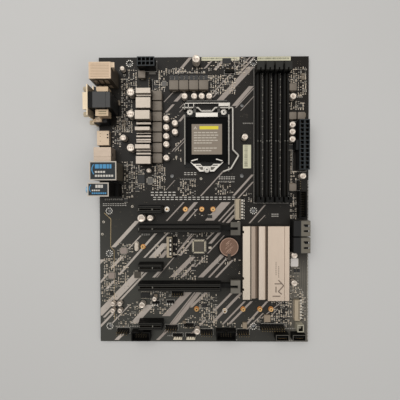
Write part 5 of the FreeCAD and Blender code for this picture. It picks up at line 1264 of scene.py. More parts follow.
def add_shell_details(settings, shell):
    """Ribs, seams, springs, an ear and notches on the folded shells; wires on tongues."""
    dull = finish("shell_seam", srgb(150, 130, 108), 0.55, 0.4)
    dark = port_shadow()
    low_u, low_v, low_z, high_u, high_v, high_z = span("ps2_usb_shell")
    ribs = [((low_u + high_u) / 2, at, high_z - 0.03, high_u - low_u - 3.4, 0.35, 0.06)
            for at in np.arange(low_v + 2.2, high_v - 1.4, settings.rib_pitch)]
    rims = frame_rows(low_u + 0.3, low_v + 0.3, high_u - 0.3, high_v - 0.3, high_z - SUNK)
    ear = [between(high_u, low_v + 0.2, high_z - 9, high_u + 1.0, low_v + 5.4, high_z - 0.4),
           between(high_u, low_v + 0.2, high_z - 1.6, high_u + 3.4, low_v + 5.2,
                   high_z - 0.8)]
    springs = [between(low_u + 3 + step * 5.4, high_v, start, low_u + 6.4 + step * 5.4,
                       high_v + 0.35, end)
               for start, end in ((high_z - 12, high_z - 5.5), (low_z + 3, low_z + 8.5))
               for step in range(3)]
    usb, lan = span("usb_shell"), span("lan_usb_shell")
    seam = between(usb[0] + 0.2, usb[4] - 4.6, usb[5] - SUNK, usb[3] - 0.2, usb[4] - 4.35,
                   usb[5] + INK)
    rims += frame_rows(usb[0] + 0.3, usb[1] + 0.3, usb[3] - 0.3, usb[4] - 0.3, usb[5] - SUNK, 0.4)
    hdmi = span("hdmi_shell")
    notches = [between(hdmi[3] - 2.2, hdmi[1] + at, hdmi[5] - SUNK, hdmi[3] - 0.6,
                       hdmi[1] + at + 1.4, hdmi[5] + 0.02) for at in (3.4, 6.4)]
    notches += [between(hdmi[0] + 3.0, hdmi[1] + at, hdmi[5] - SUNK, hdmi[0] + 3.8,
                        hdmi[1] + at + 0.5, hdmi[5] + 0.02) for at in (2.6, 5.6, 10.6)]
    notches += [between(part[3] - 0.02, (part[1] + part[4]) / 2 - 1.6, part[5] - 7,
                        part[3] + 0.04, (part[1] + part[4]) / 2 + 1.6, part[5] - 5.2)
                for part in (usb, lan)]
    piece("shell_details", [(boxes(ribs), dull), (boxes(rims), shell),
                            (boxes(ear + springs), shell), (boxes([seam]), dull),
                            (boxes(notches), dark)])
    tongue = finish("tongue_plastic", srgb(22, 22, 21), 0.5, vary=0.1, bump=0.05)
    middle = (BOARD_LOW.x + BOARD_HIGH.x) / 2
    dress(graded(tongue, "X", middle, middle + 0.001, srgb(30, 92, 168)), "port_tongues")
    wires = [between(low_u - SUNK, at - 0.5, low_z - 0.06, high_u - 0.6, at + 0.5, low_z)
             for low_u, low_v, low_z, high_u, high_v, _ in islands("port_tongues")
             if high_v - low_v > 8 and high_u - low_u > 4
             for at in low_v + (high_v - low_v) * np.linspace(0.16, 0.84, 4)]
    piece("tongue_contacts", [(boxes(wires), gold())])


def add_video_parts(shell, body):
    """The hood behind the upper video port, its cast brackets and the lower port's holes."""
    port = span("video_port_body")
    screws = islands("video_jackscrews")
    middle = (port[1] + port[4]) / 2
    half = screws[screws[:, 2] > 15][:, 4].max() - middle - 6.96
    top = port[5]
    hood = moved(rounded_block(4.6, 2 * half, 0.4, [(TOP, 0), (top - 0.3, 0), (top, 0.3)]),
                 port[3] + 2.3, middle)
    cover = moved(slab(0.2 + port[3] - 4.6, 2 * half - 0.3, 0.08, 0.2, 0.03),
                  (port[3] + 4.6) / 2, middle, top - SUNK)
    rear = between(-0.2, middle - half, top - SUNK, 4.4, middle + half, top + FILM)
    cast = finish("cast_bracket", srgb(186, 163, 134), 0.5, 0.4, 0.1, 900, bump=0.12)
    brackets = [
        between(6.4, middle - half - 6.4, 16.2, 17.6, middle - half - 2.6, 27.4),
        between(7.4, middle - half - 6.0, 27.4, 18.4, middle - half - 1.4, 28.4),
        between(5.8, middle + half + 0.7, 27.2, 18.4, middle + half + 7.0, 28.2),
        between(7.0, middle + half + 1.2, 16.2, 17.6, middle + half + 6.6, 27.2),
        between(1.9, middle + half + 6.0, 16.2, 8.5, middle + half + 10.3, 18.4),
        between(-0.3, middle + half + 7.2, 16.2, 1.9, middle + half + 10.3, 17.6)]
    slots = [between(9, middle + half + at, 28.2, 16.6, middle + half + at + 0.8, 28.26)
             for at in (2.4, 4.6)]
    ring = washer(1.2, 2.4, 18.4, 18.8, 24)
    dull = finish("bracket_slot", srgb(120, 112, 84), 0.6, 0.3)
    piece("video_brackets", [(boxes(brackets), cast), (boxes(slots), dull),
                             (moved(ring, 5.2, middle + half + 8.0), shell)])
    piece("video_hood", [(hood, body), (cover, body), (boxes([rear]), black_plastic())])
    blue = finish("insert_blue", srgb(30, 92, 168), 0.5, vary=0.08, bump=0.05)
    white = finish("insert_white", srgb(206, 202, 192), 0.55, vary=0.04, bump=0.04)
    low, high = screws[:, 2].min() + 2.5, screws[screws[:, 2] > 15][0, 2] + 2.5
    face = port[0] - 0.03
    noses = [(boxes([between(face, middle - reach, level - rise, face + 0.2, middle + reach,
                             level + rise)]), paint)
             for reach, rise, level, paint in ((7.2, 3.4, high, blue),
                                               (10.8, 3.2, low, white))]
    pin, shadow = disc(0.5, 0, 0.08, 10), port_shadow()
    for row in range(3):
        places = [(middle + (step - 2) * 2.3 + (row % 2) * 1.1 - 0.5, high + (row - 1) * 2.0)
                  for step in range(5)]
        places += [(middle - 9.4 + step * 1.9, low + (row - 1) * 1.9) for step in range(8)]
        noses += [(across(pin, face - 0.06, *place), shadow) for place in places]
    noses.append((boxes([between(face - 0.05, middle + 6.6, low - 0.3, face, middle + 10,
                                 low + 0.3)]), shadow))
    piece("video_inserts", noses)


def add_network_parts(settings):
    """Contact wires and two lamp windows of the network jack."""
    low_u, low_v, _, _, high_v, high_z = span("lan_usb_shell")
    middle, half = (low_v + high_v) / 2, settings.wire / 2
    wires = [between(low_u + 3.0, at - half, high_z - 8.4, low_u + 11.6, at + half,
                     high_z - 8.0) for at in middle + (np.arange(8) - 3.5) * CONTACT_STEP]
    lamps = [between(low_u - 0.06, start, high_z - 2.6, low_u, start + 3.1, high_z - 0.9)
             for start in (low_v + 0.9, high_v - 4.0)]
    amber = finish("lamp_amber", srgb(206, 160, 70), 0.3, vary=0.05)
    green = finish("lamp_green", srgb(96, 168, 84), 0.3, vary=0.05)
    piece("network_contacts", [(boxes(wires), gold()), (boxes(lamps[:1]), amber),
                               (boxes(lamps[1:]), green)])


def add_jack_rims():
    """Coloured rims round the sound jacks, blue on top, then green and pink."""
    rows = islands("audio_jack_rings")
    rows = rows[np.argsort(-rows[:, 2])]
    paints = [finish(name, srgb(*colour), 0.45, vary=0.05, bump=0.04)
              for name, colour in (("jack_blue", (150, 190, 216)),
                                   ("jack_green", (126, 178, 96)),
                                   ("jack_pink", (206, 126, 140)))]
    dress(paints[0], "audio_jack_rings")
    parts = []
    for (_, low_v, low_z, high_u, high_v, high_z), paint in zip(rows, paints):
        radius = (high_v - low_v) / 2
        rim = hollow_lathe([(1.95, 0), (radius + 0.04, 0), (radius + 0.06, 2.2),
                            (radius - 0.3, 2.55), (2.3, 2.55), (1.95, 2.2)], 40)
        parts.append((moved(laid_against_u(rim), high_u, (low_v + high_v) / 2,
                            (low_z + high_z) / 2), paint))
    piece("jack_rims", parts)


class MOTHERBOARD_OT_ports(Operator):
    """Finish the rear port shells and fill the ports with pins, tongues, springs and brackets"""
    bl_idname = "motherboard.ports"
    bl_label = "Rear ports"

    def execute(self, context):
        settings = context.scene.motherboard_ports
        shell = finish("port_shell", srgb(196, 175, 150), 0.5, 0.45, 0.06, 700, bump=0.05)
        dress(shell, "hdmi_shell")
        tall = finish("port_shell_tall", srgb(192, 168, 142), 0.5, 0.45, 0.05, 700, bump=0.05)
        # painted shade: the tall shell turns darker below 26.2 mm, down its sides
        dress(graded(tall, "Z", 0.0262, 0.0288, srgb(96, 86, 74)), "ps2_usb_shell")
        dress(finish("screw_warm", srgb(214, 198, 170), 0.45, 0.4, 0.05, 900), "video_jackscrews")
        dress(finish("port_shell_dull", srgb(186, 168, 150), 0.5, 0.5, 0.08, 500), "usb_shell")
        dress(finish("network_shell", srgb(120, 112, 98), 0.5, 0.6, 0.08, 500), "lan_usb_shell")
        dress(finish("flange_steel", srgb(204, 186, 158), 0.45, 0.5, 0.08, 900),
              "video_port_flange")
        body = finish("port_slate", srgb(54, 53, 51), 0.45, vary=0.06, scale=1200, bump=0.05,
                      specular=0.35)
        # painted shade: the video port body, its hood and hood cover turn near black below 30.5 mm
        graded(body, "Z", 0.0305, 0.0318, srgb(20, 20, 20))
        dress(body, "video_port_body")
        dress(black_plastic(), "audio_jack_body")
        add_keyboard_insert()
        add_shell_details(settings, shell)
        add_video_parts(shell, body)
        add_network_parts(settings)
        add_jack_rims()
        return {"FINISHED"}


# --- labels ---

class LabelSettings(PropertyGroup):
    """Printed labels on the ports and on the board"""
    frame_width: millimetres("Frame width", 1.0, "Width of a label's pale frame")


def add_papers():
    """Cream paper labels along the top edge and beside the main power socket."""
    cream = finish("paper_cream", srgb(216, 211, 182), 0.7, vary=0.04, scale=500, bump=0.05)
    ink = finish("paper_ink", srgb(104, 102, 80), 0.7, vary=0.1)
    sheets = [(109.8, 0.15, 150.1, 4.0), (169.1, 0.15, 204.4, 4.4),
              (153.9, 93.4, 162.4, 118.4), (78.8, 296.2, 88.7, 298.9),
              (92.7, 296.2, 102.7, 298.9)]
    rows, bars = [], []
    random = np.random.default_rng(5)
    for low_u, low_v, high_u, high_v in sheets:
        rows.append(between(low_u, low_v, TOP, high_u, high_v, TOP + 0.12))
        upright = high_v - low_v > high_u - low_u
        start, end = (low_v + 1.0, high_v - 1.0) if upright else (low_u + 1.0, high_u - 1.0)
        at = start
        while at < end - 1 and end - start > 12:
            width = random.uniform(0.2, 0.7)
            bars.append(between(low_u + 1.4, at, TOP + 0.12, high_u - 3.6, at + width,
                                TOP + 0.15) if upright else
                        between(at, low_v + 1.0, TOP + 0.12, at + width, high_v - 1.4,
                                TOP + 0.15))
            at += width + random.uniform(0.25, 0.8)
    piece("paper_labels", [(boxes(rows), cream), (boxes(bars), ink)])


class MOTHERBOARD_OT_labels(Operator):
    """Print frames and plain bars on the port labels and lay paper labels on the board"""
    bl_idname = "motherboard.labels"
    bl_label = "Labels"

    def execute(self, context):
        settings = context.scene.motherboard_labels
        dress(finish("label_black", srgb(30, 36, 38), 0.5, vary=0.1, scale=500, bump=0.02,
                     specular=0.3), "port_labels")
        pale = finish("label_frame", srgb(198, 188, 174), 0.55, vary=0.05, bump=0.02)
        blue = finish("label_blue", srgb(60, 140, 186), 0.5, vary=0.06, bump=0.02)
        white = finish("label_white", srgb(206, 200, 190), 0.55, vary=0.05, bump=0.02)
        frames, blues, whites, bows = [], [], [], []
        bow = np.linspace(-1.0, 1.0, 9)[:, None]
        for low_u, low_v, _, high_u, high_v, high_z in islands("port_labels"):
            inset = settings.frame_width / 2
            frames += frame_rows(low_u + inset, low_v + inset, high_u - inset, high_v - inset,
                                 high_z - SUNK, settings.frame_width)
            wide, tall = high_u - low_u, high_v - low_v
            large = wide > 22

            def bar(start, top, end, bottom):
                """A printed bar between shares of the label's width and height."""
                return between(low_u + wide * start, low_v + tall * top, high_z - SUNK,
                               low_u + wide * end, low_v + tall * bottom, high_z + INK)

            words = ((0.21, 0.36), (0.38, 0.48), (0.50, 0.63), (0.65, 0.73), (0.75, 0.82))
            target = blues if large else whites
            target += [bar(start, 0.16, end, 0.38)
                       for start, end in (words if large else words[1:4])]
            for line, last in enumerate((0.6, 0.82)):
                target = whites if large or line == 0 else blues
                target += [bar(start, 0.51 + line * 0.2, start + 0.075, 0.61 + line * 0.21)
                           for start in np.arange(0.21, last, 0.1)]
            outer = [low_u + wide * 0.08, low_v + tall * 0.42] + np.hstack(
                [0.07 * wide * bow ** 2, 0.26 * tall * bow])
            bows.append((band(np.concatenate([outer, outer[::-1] + [wide * 0.035, 0]]),
                              high_z - SUNK, FILM), blue))
        shapes = [(boxes(frames), pale), (boxes(whites), white), (boxes(blues), blue)] + bows
        piece("port_label_print", shapes)
        add_papers()
        return {"FINISHED"}


# --- memory and card slots ---

class SlotSettings(PropertyGroup):
    """Contacts and edges of the memory and expansion slots"""
    memory_pitch: millimetres("Memory contact pitch", 0.85, "Step between memory contacts")
    card_pitch: millimetres("Card contact pitch", 1.0, "Step between card contacts")


MEMORY_SLOTS = tuple(f"dimm_slot_{number}" for number in range(1, 5))
CARD_SLOTS = ("pcie_x16_slot_1", "pcie_x16_slot_2")
LONG_SLOT = 60  # a long card slot reaches further than this, in millimetres


def sunk_contact():
    return finish("sunk_contact", srgb(50, 42, 30), 0.5, 0.6, 0.15, 2500, bump=0.05)


def key_glint():
    return finish("key_glint", srgb(140, 136, 124), 0.4, vary=0.05, bump=0.02)


def pale_ceramic():
    return finish("pale_ceramic", srgb(212, 204, 190), 0.5, vary=0.1, bump=0.05)


def add_memory_contacts(settings):
    """Two rows of contacts in every groove, and small parts between the slots."""
    contacts, beads, chips, ticks = [], [], [], []
    rim = TOP + 7.78
    for number, node in enumerate(MEMORY_SLOTS):
        low_u, low_v, _, high_u, high_v, _ = span(node)
        middle, key = (low_u + high_u) / 2, low_v + 78.4
        contacts += [(middle + side, at, TOP + 6.6, 0.22, 0.4, 1.0)
                     for at in np.arange(low_v + 9.5, high_v - 7.5, settings.memory_pitch)
                     if abs(at - key) > 1.2 for side in (-0.62, 0.62)]
        # painted highlights: pale strips along the rims of each memory groove
        beads += [(middle + side, (low_v + high_v) / 2 + 0.8, rim, 0.16,
                   high_v - low_v - 18, 0.06) for side in (-2.2, 2.2)]
        ticks += [(middle + side, key, rim, 0.7, 0.9, 0.08) for side in (-1.5, 1.5)]
        if node != MEMORY_SLOTS[-1]:
            pitch, tall = (3.4, 1.4) if number == 1 else (8.3, 1.0)
            chips += [(high_u + 1.1, at, TOP, 0.8, tall, 1.2)
                      for at in np.arange(low_v + 12, high_v - 10, pitch)]
    piece("memory_contacts", [(boxes(contacts), sunk_contact())])
    edge = finish("rim_highlight", srgb(46, 46, 42), 0.5, vary=0.1, bump=0.05, specular=0.3)
    piece("memory_edges", [(boxes(beads), edge), (boxes(ticks), key_glint())])
    piece("memory_parts", [(boxes(chips), pale_ceramic())])


def add_card_contacts(settings):
    """Contacts along both walls of the card grooves, with pale strips on the rims as painted
    highlights.
    """
    contacts, beads, marks = [], [], []
    for low_u, low_v, _, high_u, high_v, high_z in card_rows():
        middle = (low_v + high_v) / 2
        reach = 86.4 if high_u - low_u > LONG_SLOT else 25.0
        key, level = low_u + 15.2, high_z - SUNK
        contacts += [(at, middle + side, high_z - 4, 0.45, 0.26, 2.6)
                     for at in np.arange(low_u + 3, low_u + reach - 2.4, settings.card_pitch)
                     if abs(at - key) > 1.6 for side in (-0.74, 0.74)]
        # painted highlights: pale strips along the rims of each card groove
        beads += [(low_u + reach / 2, middle + side, level, reach - 1.6, 0.24, 0.07)
                  for side in (-2.9, -1.15, 1.15, 2.9)]
        marks += [(key, middle, level, 0.6, 1.9, 0.06),
                  (low_u + 1.2, middle, level, 0.35, 3.0, 0.06)]
    piece("card_contacts", [(boxes(contacts), sunk_contact())])
    edge = finish("card_edge", srgb(78, 75, 68), 0.5, vary=0.1, bump=0.05, specular=0.3)
    piece("card_edges", [(boxes(beads), edge), (boxes(marks), key_glint())])


class MOTHERBOARD_OT_slots(Operator):
    """Line the memory and card slots with contacts and pale rim strips of painted highlight, and
    finish their latches
    """
    bl_idname = "motherboard.slots"
    bl_label = "Memory and card slots"

    def execute(self, context):
        settings = context.scene.motherboard_slots
        dress(black_plastic(), "pcie_x1_slots", *CARD_SLOTS, *MEMORY_SLOTS)
        dress(grey_plastic(), *(f"dimm_latch_{number}" for number in range(1, 5)))
        # painted highlights: the card latches are mottled with light patches that stand for
        # highlights on their facets
        latch = finish("latch_grey", srgb(104, 99, 90), 0.55, vary=0.75, scale=420, bump=0.15,
                       specular=0.3)
        dress(latch, "pcie_latch_1", "pcie_latch_2")
        add_memory_contacts(settings)
        add_card_contacts(settings)
        return {"FINISHED"}


def card_rows():
    """Boxes of the long and the short card slots."""
    return [span(node) for node in CARD_SLOTS] + list(islands("pcie_x1_slots"))


# --- card screws and flat connectors ---

class CardSettings(PropertyGroup):
    """Flat card connectors and the nuts that hold the cards"""
    ring_radius: millimetres("Ring radius", 2.75, "Radius of the copper ring under a nut")


def add_connector_details():
    """A slit, a row of contacts and a column of pads for every flat card connector."""
    cream = finish("connector_cream", srgb(172, 157, 133), 0.55, vary=0.06, bump=0.06)
    dress(cream, "card_sockets")
    slits, pads, shields, strips = [], [], [], []
    for low_u, low_v, low_z, high_u, high_v, high_z in islands("card_sockets"):
        slits.append((high_u - 0.9, (low_v + high_v) / 2, high_z - SUNK, 0.7,
                      high_v - low_v - 2.4, 0.06))
        for at in np.arange(low_v + 1.4, high_v - 1.2, 0.5):
            pads += [(low_u - 0.35, at, low_z, 0.8, 0.28, 0.16),
                     (high_u + 0.35, at + 0.25, low_z, 0.8, 0.28, 0.16)]
        strips.append(between(high_u + 0.3, low_v - 0.6, low_z, high_u + 5.0, high_v + 0.8,
                              low_z + 0.5))
        if low_u < 100:
            strips.append(between(high_u - 3.0, low_v + 1.6, high_z - SUNK, high_u - 0.1,
                                  high_v - 1.6, high_z + FILM))
            shields += [(high_u - 1.5, at, high_z + FILM, 1.7, 2.6, 0.06)
                        for at in np.linspace(low_v + 4, high_v - 4, 4)]
            continue
        for at in np.linspace(low_v + 1.6, high_v - 1.6, 7):
            shields += [(high_u + 2.2, at, low_z + 0.5, 2.3, 2.1, 0.12),
                        (high_u + 4.4, at + 0.6, low_z + 0.5, 0.6, 1.6, 0.12)]
    piece("connector_details", [(boxes(slits + strips), black_plastic()),
                                (boxes(pads), tin()), (boxes(shields), pale_ceramic())])


class MOTHERBOARD_OT_cards(Operator):
    """Give the card nuts their pads and bores filled with painted shade, and the flat connectors
    their contacts
    """
    bl_idname = "motherboard.cards"
    bl_label = "Card nuts and connectors"

    def execute(self, context):
        settings = context.scene.motherboard_cards
        copper = finish("copper_ring", srgb(196, 140, 84), 0.4, 0.6, 0.08, 2000, bump=0.05)
        warm = finish("nut_gold", srgb(226, 182, 122), 0.35, 0.8, 0.06, 2000, bump=0.04)
        bright = finish("nut_nickel", srgb(222, 218, 210), 0.35, 0.8, 0.05, 2000, bump=0.04)
        # painted shade: a dark plug stands for the inside of each nut's bore
        hollow = finish("bore_shade", srgb(40, 28, 16), 0.7, 0.2)
        dress(warm, "card_nuts")
        rows = islands("card_nuts")
        height = rows[0, 5]
        ring = washer(1.9, settings.ring_radius, TOP, TOP + 0.06, 36)
        collar = hollow_lathe([(0.95, height - 1.2), (2.12, height - 1.2), (2.12, height - 0.1),
                               (1.95, height + 0.06), (1.3, height + 0.06),
                               (0.95, height - 0.25)], 36)
        plug = disc(0.96, TOP + 0.3, height - 0.3, 24)
        parts = []
        for u, v in middles(rows):
            silver = abs(u - 72.3) < 1 or abs(u - 134.2) < 1
            parts += [(moved(ring, u, v), bright if silver else copper),
                      (moved(collar, u, v), bright if silver else warm),
                      (moved(plug, u, v), hollow)]
        piece("nut_rings", parts)
        add_connector_details()
        return {"FINISHED"}


# --- power sockets, headers and storage ports ---

class HeaderSettings(PropertyGroup):
    """Pin headers, power sockets and storage ports"""
    tip: millimetres("Tip", 0.5, "Height of a pin's tapered tip")


def add_pin_tips(settings):
    """A small pyramid on every header pin; the pins of the three jumpers are bright."""
    rows = islands("header_pins")
    spots = middles(rows)
    side = 0.64
    taper = np.where(BOX_POINTS[:, 2:] > 0, [0.5, 0.5, 1.0], 1.0)
    tip = BOX_POINTS * taper * [side, side, settings.tip], [BOX_FACES]
    bright = (spots[:, 1] > 258) & (spots[:, 1] < 264)
    glint = finish("pin_glint", srgb(250, 244, 232), 0.4, vary=0.03, bump=0.02)
    sleeves = np.column_stack([spots[bright], rows[bright, 5] - 3.0,
                               np.full((bright.sum(), 3), [0.9, 0.9, 3.0])])
    parts = [(boxes(sleeves), glint)]
    sunk = rows[:, 5] < 9
    tipped = finish("pin_tip", srgb(176, 152, 112), 0.4, 0.6, 0.05, bump=0.02)
    for chosen, paint in ((~bright & sunk, bronze()), (~bright & ~sunk, tipped), (bright, glint)):
        places = np.column_stack([spots[chosen], rows[chosen, 5]])
        parts.append((copies(tip, places), paint))
    pale = finish("header_white", srgb(226, 214, 190), 0.5, vary=0.08, bump=0.05)
    shells = [between(low_u + 0.4, high_v + 0.05, TOP, high_u - 0.4, high_v + 3.1, TOP + 2.4)
              for low_u, low_v, _, high_u, high_v, _ in islands("header_bases")
              if low_v > 296]
    parts.append((boxes(shells), pale))
    piece("pin_tips", parts)


def add_storage_details():
    """Windows, blades and contacts of the storage ports at the edge and on the face."""
    pale = finish("port_rim", srgb(98, 94, 86), 0.6, vary=0.08, specular=0.3)
    windows, rims, blades, wires = [], [], [], []
    for _, low_v, _, high_u, high_v, high_z in islands("sata_edge_ports"):
        middle, level = (low_v + high_v) / 2, high_z - SUNK
        windows += [(high_u - 4.6, middle + step, level, 4.6, 1.5, FILM) for step in (-3.6, 2.6)]
        rims += [(high_u - 4.7, at, level, 9.2, 0.5, 0.06) for at in (low_v + 0.3, high_v - 0.3)]
        rims.append((high_u - 9.4, middle, level, 0.5, high_v - low_v, 0.06))
    for low_u, low_v, _, high_u, high_v, high_z in islands("sata_upright_ports"):
        middle_u, middle_v = (low_u + high_u) / 2, (low_v + high_v) / 2
        blades.append((middle_u, middle_v, high_z - 5, high_u - low_u - 4.4, 1.1, 4.4))
        wires += [(middle_u + (step - 3) * CONTACT_STEP, middle_v + 0.62, high_z - 4, 0.6, 0.2,
                   3.2) for step in range(7)]
        rims += frame_rows(low_u + 0.3, low_v + 0.3, high_u - 0.3, high_v - 0.3, high_z)
    piece("storage_details", [(boxes(windows), port_shadow()), (boxes(rims), pale),
                              (boxes(blades), black_plastic()), (boxes(wires), gold())])


def add_cream_header():
    """A cream shell over the square header beside the lower front corner."""
    rows = islands("box_headers")
    low_u, low_v, low_z, high_u, high_v, high_z = rows[np.argmax(rows[:, 0] * rows[:, 1])]
    cream = finish("header_cream", srgb(176, 170, 150), 0.55, vary=0.06, bump=0.05)
    sides = frame_rows(low_u - FILM / 2, low_v - FILM / 2, high_u + FILM / 2,
                       high_v + FILM / 2, low_z, FILM, high_z - low_z)
    lip = frame_rows(low_u + 0.45, low_v + 0.45, high_u - 0.45, high_v - 0.45, high_z, 0.95)
    filler = between(low_u + 1.6, low_v + 1.9, low_z + 4.6, high_u - 1.6, high_v - 1.9,
                     low_z + 5.2)
    piece("cream_header", [(boxes(sides), cream), (boxes(lip + [filler]), cream)])


class MOTHERBOARD_OT_headers(Operator):
    """Finish pins, walls and shrouds, and add tips, keys and storage contacts"""
    bl_idname = "motherboard.headers"
    bl_label = "Headers and power sockets"

    def execute(self, context):
        settings = context.scene.motherboard_headers
        dress(black_plastic(), "header_bases", "box_headers", "sata_upright_ports")
        wall = finish("socket_wall", srgb(38, 43, 45), 0.5, vary=0.1, specular=0.3)
        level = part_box("main_power_socket")[1].z
        # painted shade: the power sockets turn near black just below their wall tops, in the
        # cavities
        graded(wall, "Z", level - 0.0006, level - 0.0001, srgb(15, 15, 15))
        dress(wall, "main_power_socket", "processor_power_socket")
        dress(bronze(), "header_pins")
        dress(finish("sunk_pin", srgb(46, 38, 28), 0.5, 0.7), "power_pins")
        port = finish("port_grey", srgb(112, 106, 94), 0.6, vary=0.1, bump=0.1, specular=0.3)
        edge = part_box("sata_edge_ports")[1].x
        dress(graded(port, "X", edge - 0.0098, edge - 0.0094, srgb(22, 21, 20)), "sata_edge_ports")
        add_pin_tips(settings)
        add_storage_details()
        add_cream_header()
        return {"FINISHED"}


# --- battery, chips and crystals ---

class PartSettings(PropertyGroup):
    """Battery, chips, crystals and the underside's solder"""
    grooves: IntProperty(name="Grooves", description="Streaks scored across the coin cell",
                         default=9)
    bead: millimetres("Bead", 0.55, "Radius of a solder bead")


# Flat chips that only show as a body with leads: u, v, along u, along v.
FLAT_CHIPS = [(136.5, 4.6, 9.0, 5.4), (48.6, 254.6, 9.4, 6.2), (28.6, 152.6, 4.4, 3.2),
              (118.4, 170.0, 4.6, 3.4), (61.6, 31.4, 3.6, 3.6), (214.4, 52.4, 4.8, 3.4),
              (204.6, 96.4, 4.2, 5.0), (40.6, 140.4, 4.6, 4.0), (100.6, 225.6, 4.8, 3.6),
              (112.6, 265.4, 5.6, 4.4), (170.4, 286.0, 4.6, 4.0), (12.6, 252.4, 4.0, 5.0),
              (209.4, 228.0, 2.6, 4.0), (213.0, 228.0, 2.6, 4.0), (45.0, 129.6, 7.6, 9.6)]


def add_cell_details(settings):
    """A brushed cell tinted brown as a painted reflection, with a turned rim and light streaks, in
    a plain tray.
    """
    low_u, low_v, _, high_u, high_v, high_z = span("coin_cell")
    radius, middle = (high_u - low_u) / 2, ((low_u + high_u) / 2, (low_v + high_v) / 2)
    # painted reflection: the cell's metal is tinted brown
    brushed = finish("cell_brushed", srgb(118, 91, 75), 0.42, 0.6, 0.85, 420, (1, 0.12, 1), 0.1)
    dress(brushed, "coin_cell")
    dress(black_plastic(), "battery_holder")
    dress(finish("clip_metal", srgb(74, 66, 58), 0.45, 0.7, 0.1), "battery_clip")
    rim = hollow_lathe([(radius - 0.75, high_z - SUNK), (radius - 0.3, high_z - SUNK),
                        (radius - 0.36, high_z + 0.06), (radius - 0.7, high_z + 0.06)], 72)
    streaks = []
    random = np.random.default_rng(11)
    for at in np.linspace(-0.62, 0.62, settings.grooves):
        reach = radius * math.sqrt(1 - at * at) * random.uniform(0.5, 1.1)
        shift = random.uniform(-0.2, 0.2) * radius
        streaks.append((middle[0] + shift, middle[1] + at * radius, high_z - 0.01,
                        min(reach, 2 * radius * 0.7), random.uniform(0.1, 0.3), INK))
    light = finish("cell_streak", srgb(196, 164, 144), 0.4, 0.6, 0.05)
    outer = hollow_lathe([(radius + 0.2, TOP), (radius + 1.05, TOP),
                          (radius + 1.05, TOP + 3.3), (radius + 0.2, TOP + 3.44)], 72)
    piece("cell_details", [(moved(rim, *middle), light),
                           (boxes(streaks, np.full(len(streaks), 0.7)), light)])
    piece("tray_rim", [(moved(outer, *middle), black_plastic())])


def add_chip_faces():
    """Glossy bodies with a polarity dot, and a few more flat chips with leads."""
    glossy = finish("chip_glossy", srgb(74, 68, 59), 0.3, vary=0.08, scale=900, bump=0.03,
                    specular=0.5)
    pink = finish("chip_pink", srgb(150, 136, 126), 0.35, vary=0.08, scale=900, bump=0.03)
    dress(glossy, "chip_packages")
    dots, leads, tops, frames, caps = [], [], [], [], []
    for low_u, low_v, _, high_u, high_v, high_z in islands("chip_packages"):
        dots.append((low_u + 0.9, high_v - 0.9, high_z - 0.01))
        if high_u - low_u > 9:
            frames += lead_rows(low_u, low_v, high_u, high_v, high_z - 0.01, 0.66,
                                0.66 * 0.7, 1.0, -0.5, FILM, 1.6)
        elif low_u > DEPTH * 0.85:
            caps.append(between(low_u, low_v, high_z - SUNK, high_u, high_v, high_z + 0.1))
        elif low_u < 30:
            tops.append(between(low_u + 0.15, low_v + 0.15, high_z - SUNK, high_u - 0.15,
                                high_v - 0.15, high_z + 0.04))
    bodies = []
    for u, v, along_u, along_v in FLAT_CHIPS:
        bodies.append(moved(slab(along_u, along_v, 0.95, 0.1, 0.12), u, v, TOP + 0.12))
        out = along_v / 2 + 0.35
        leads += [(u + at, v + side * out, TOP, 0.3, 0.9, 0.2)
                  for at in np.arange(-along_u / 2 + 0.4, along_u / 2 - 0.2, 0.65)
                  for side in (-1, 1)]
    grey = finish("dot_grey", srgb(120, 116, 110), 0.6, vary=0.05)
    lead = finish("bright_lead", srgb(226, 214, 184), 0.4, 0.2, 0.05, 2500, bump=0.05)
    plate = finish("shield_plate", srgb(200, 194, 188), 0.4, 0.3, 0.05, 900, bump=0.04)
    flat = finish("chip_dark", srgb(36, 35, 33), 0.4, vary=0.15, scale=3000, bump=0.06,
                  specular=0.3)
    piece("chip_faces", [(merged(*bodies), flat), (boxes(tops), pink), (boxes(caps), plate),
                         (boxes(leads), tin()), (boxes(frames), lead),
                         (copies(disc(0.32, 0, 0.04, 12), dots), grey)])


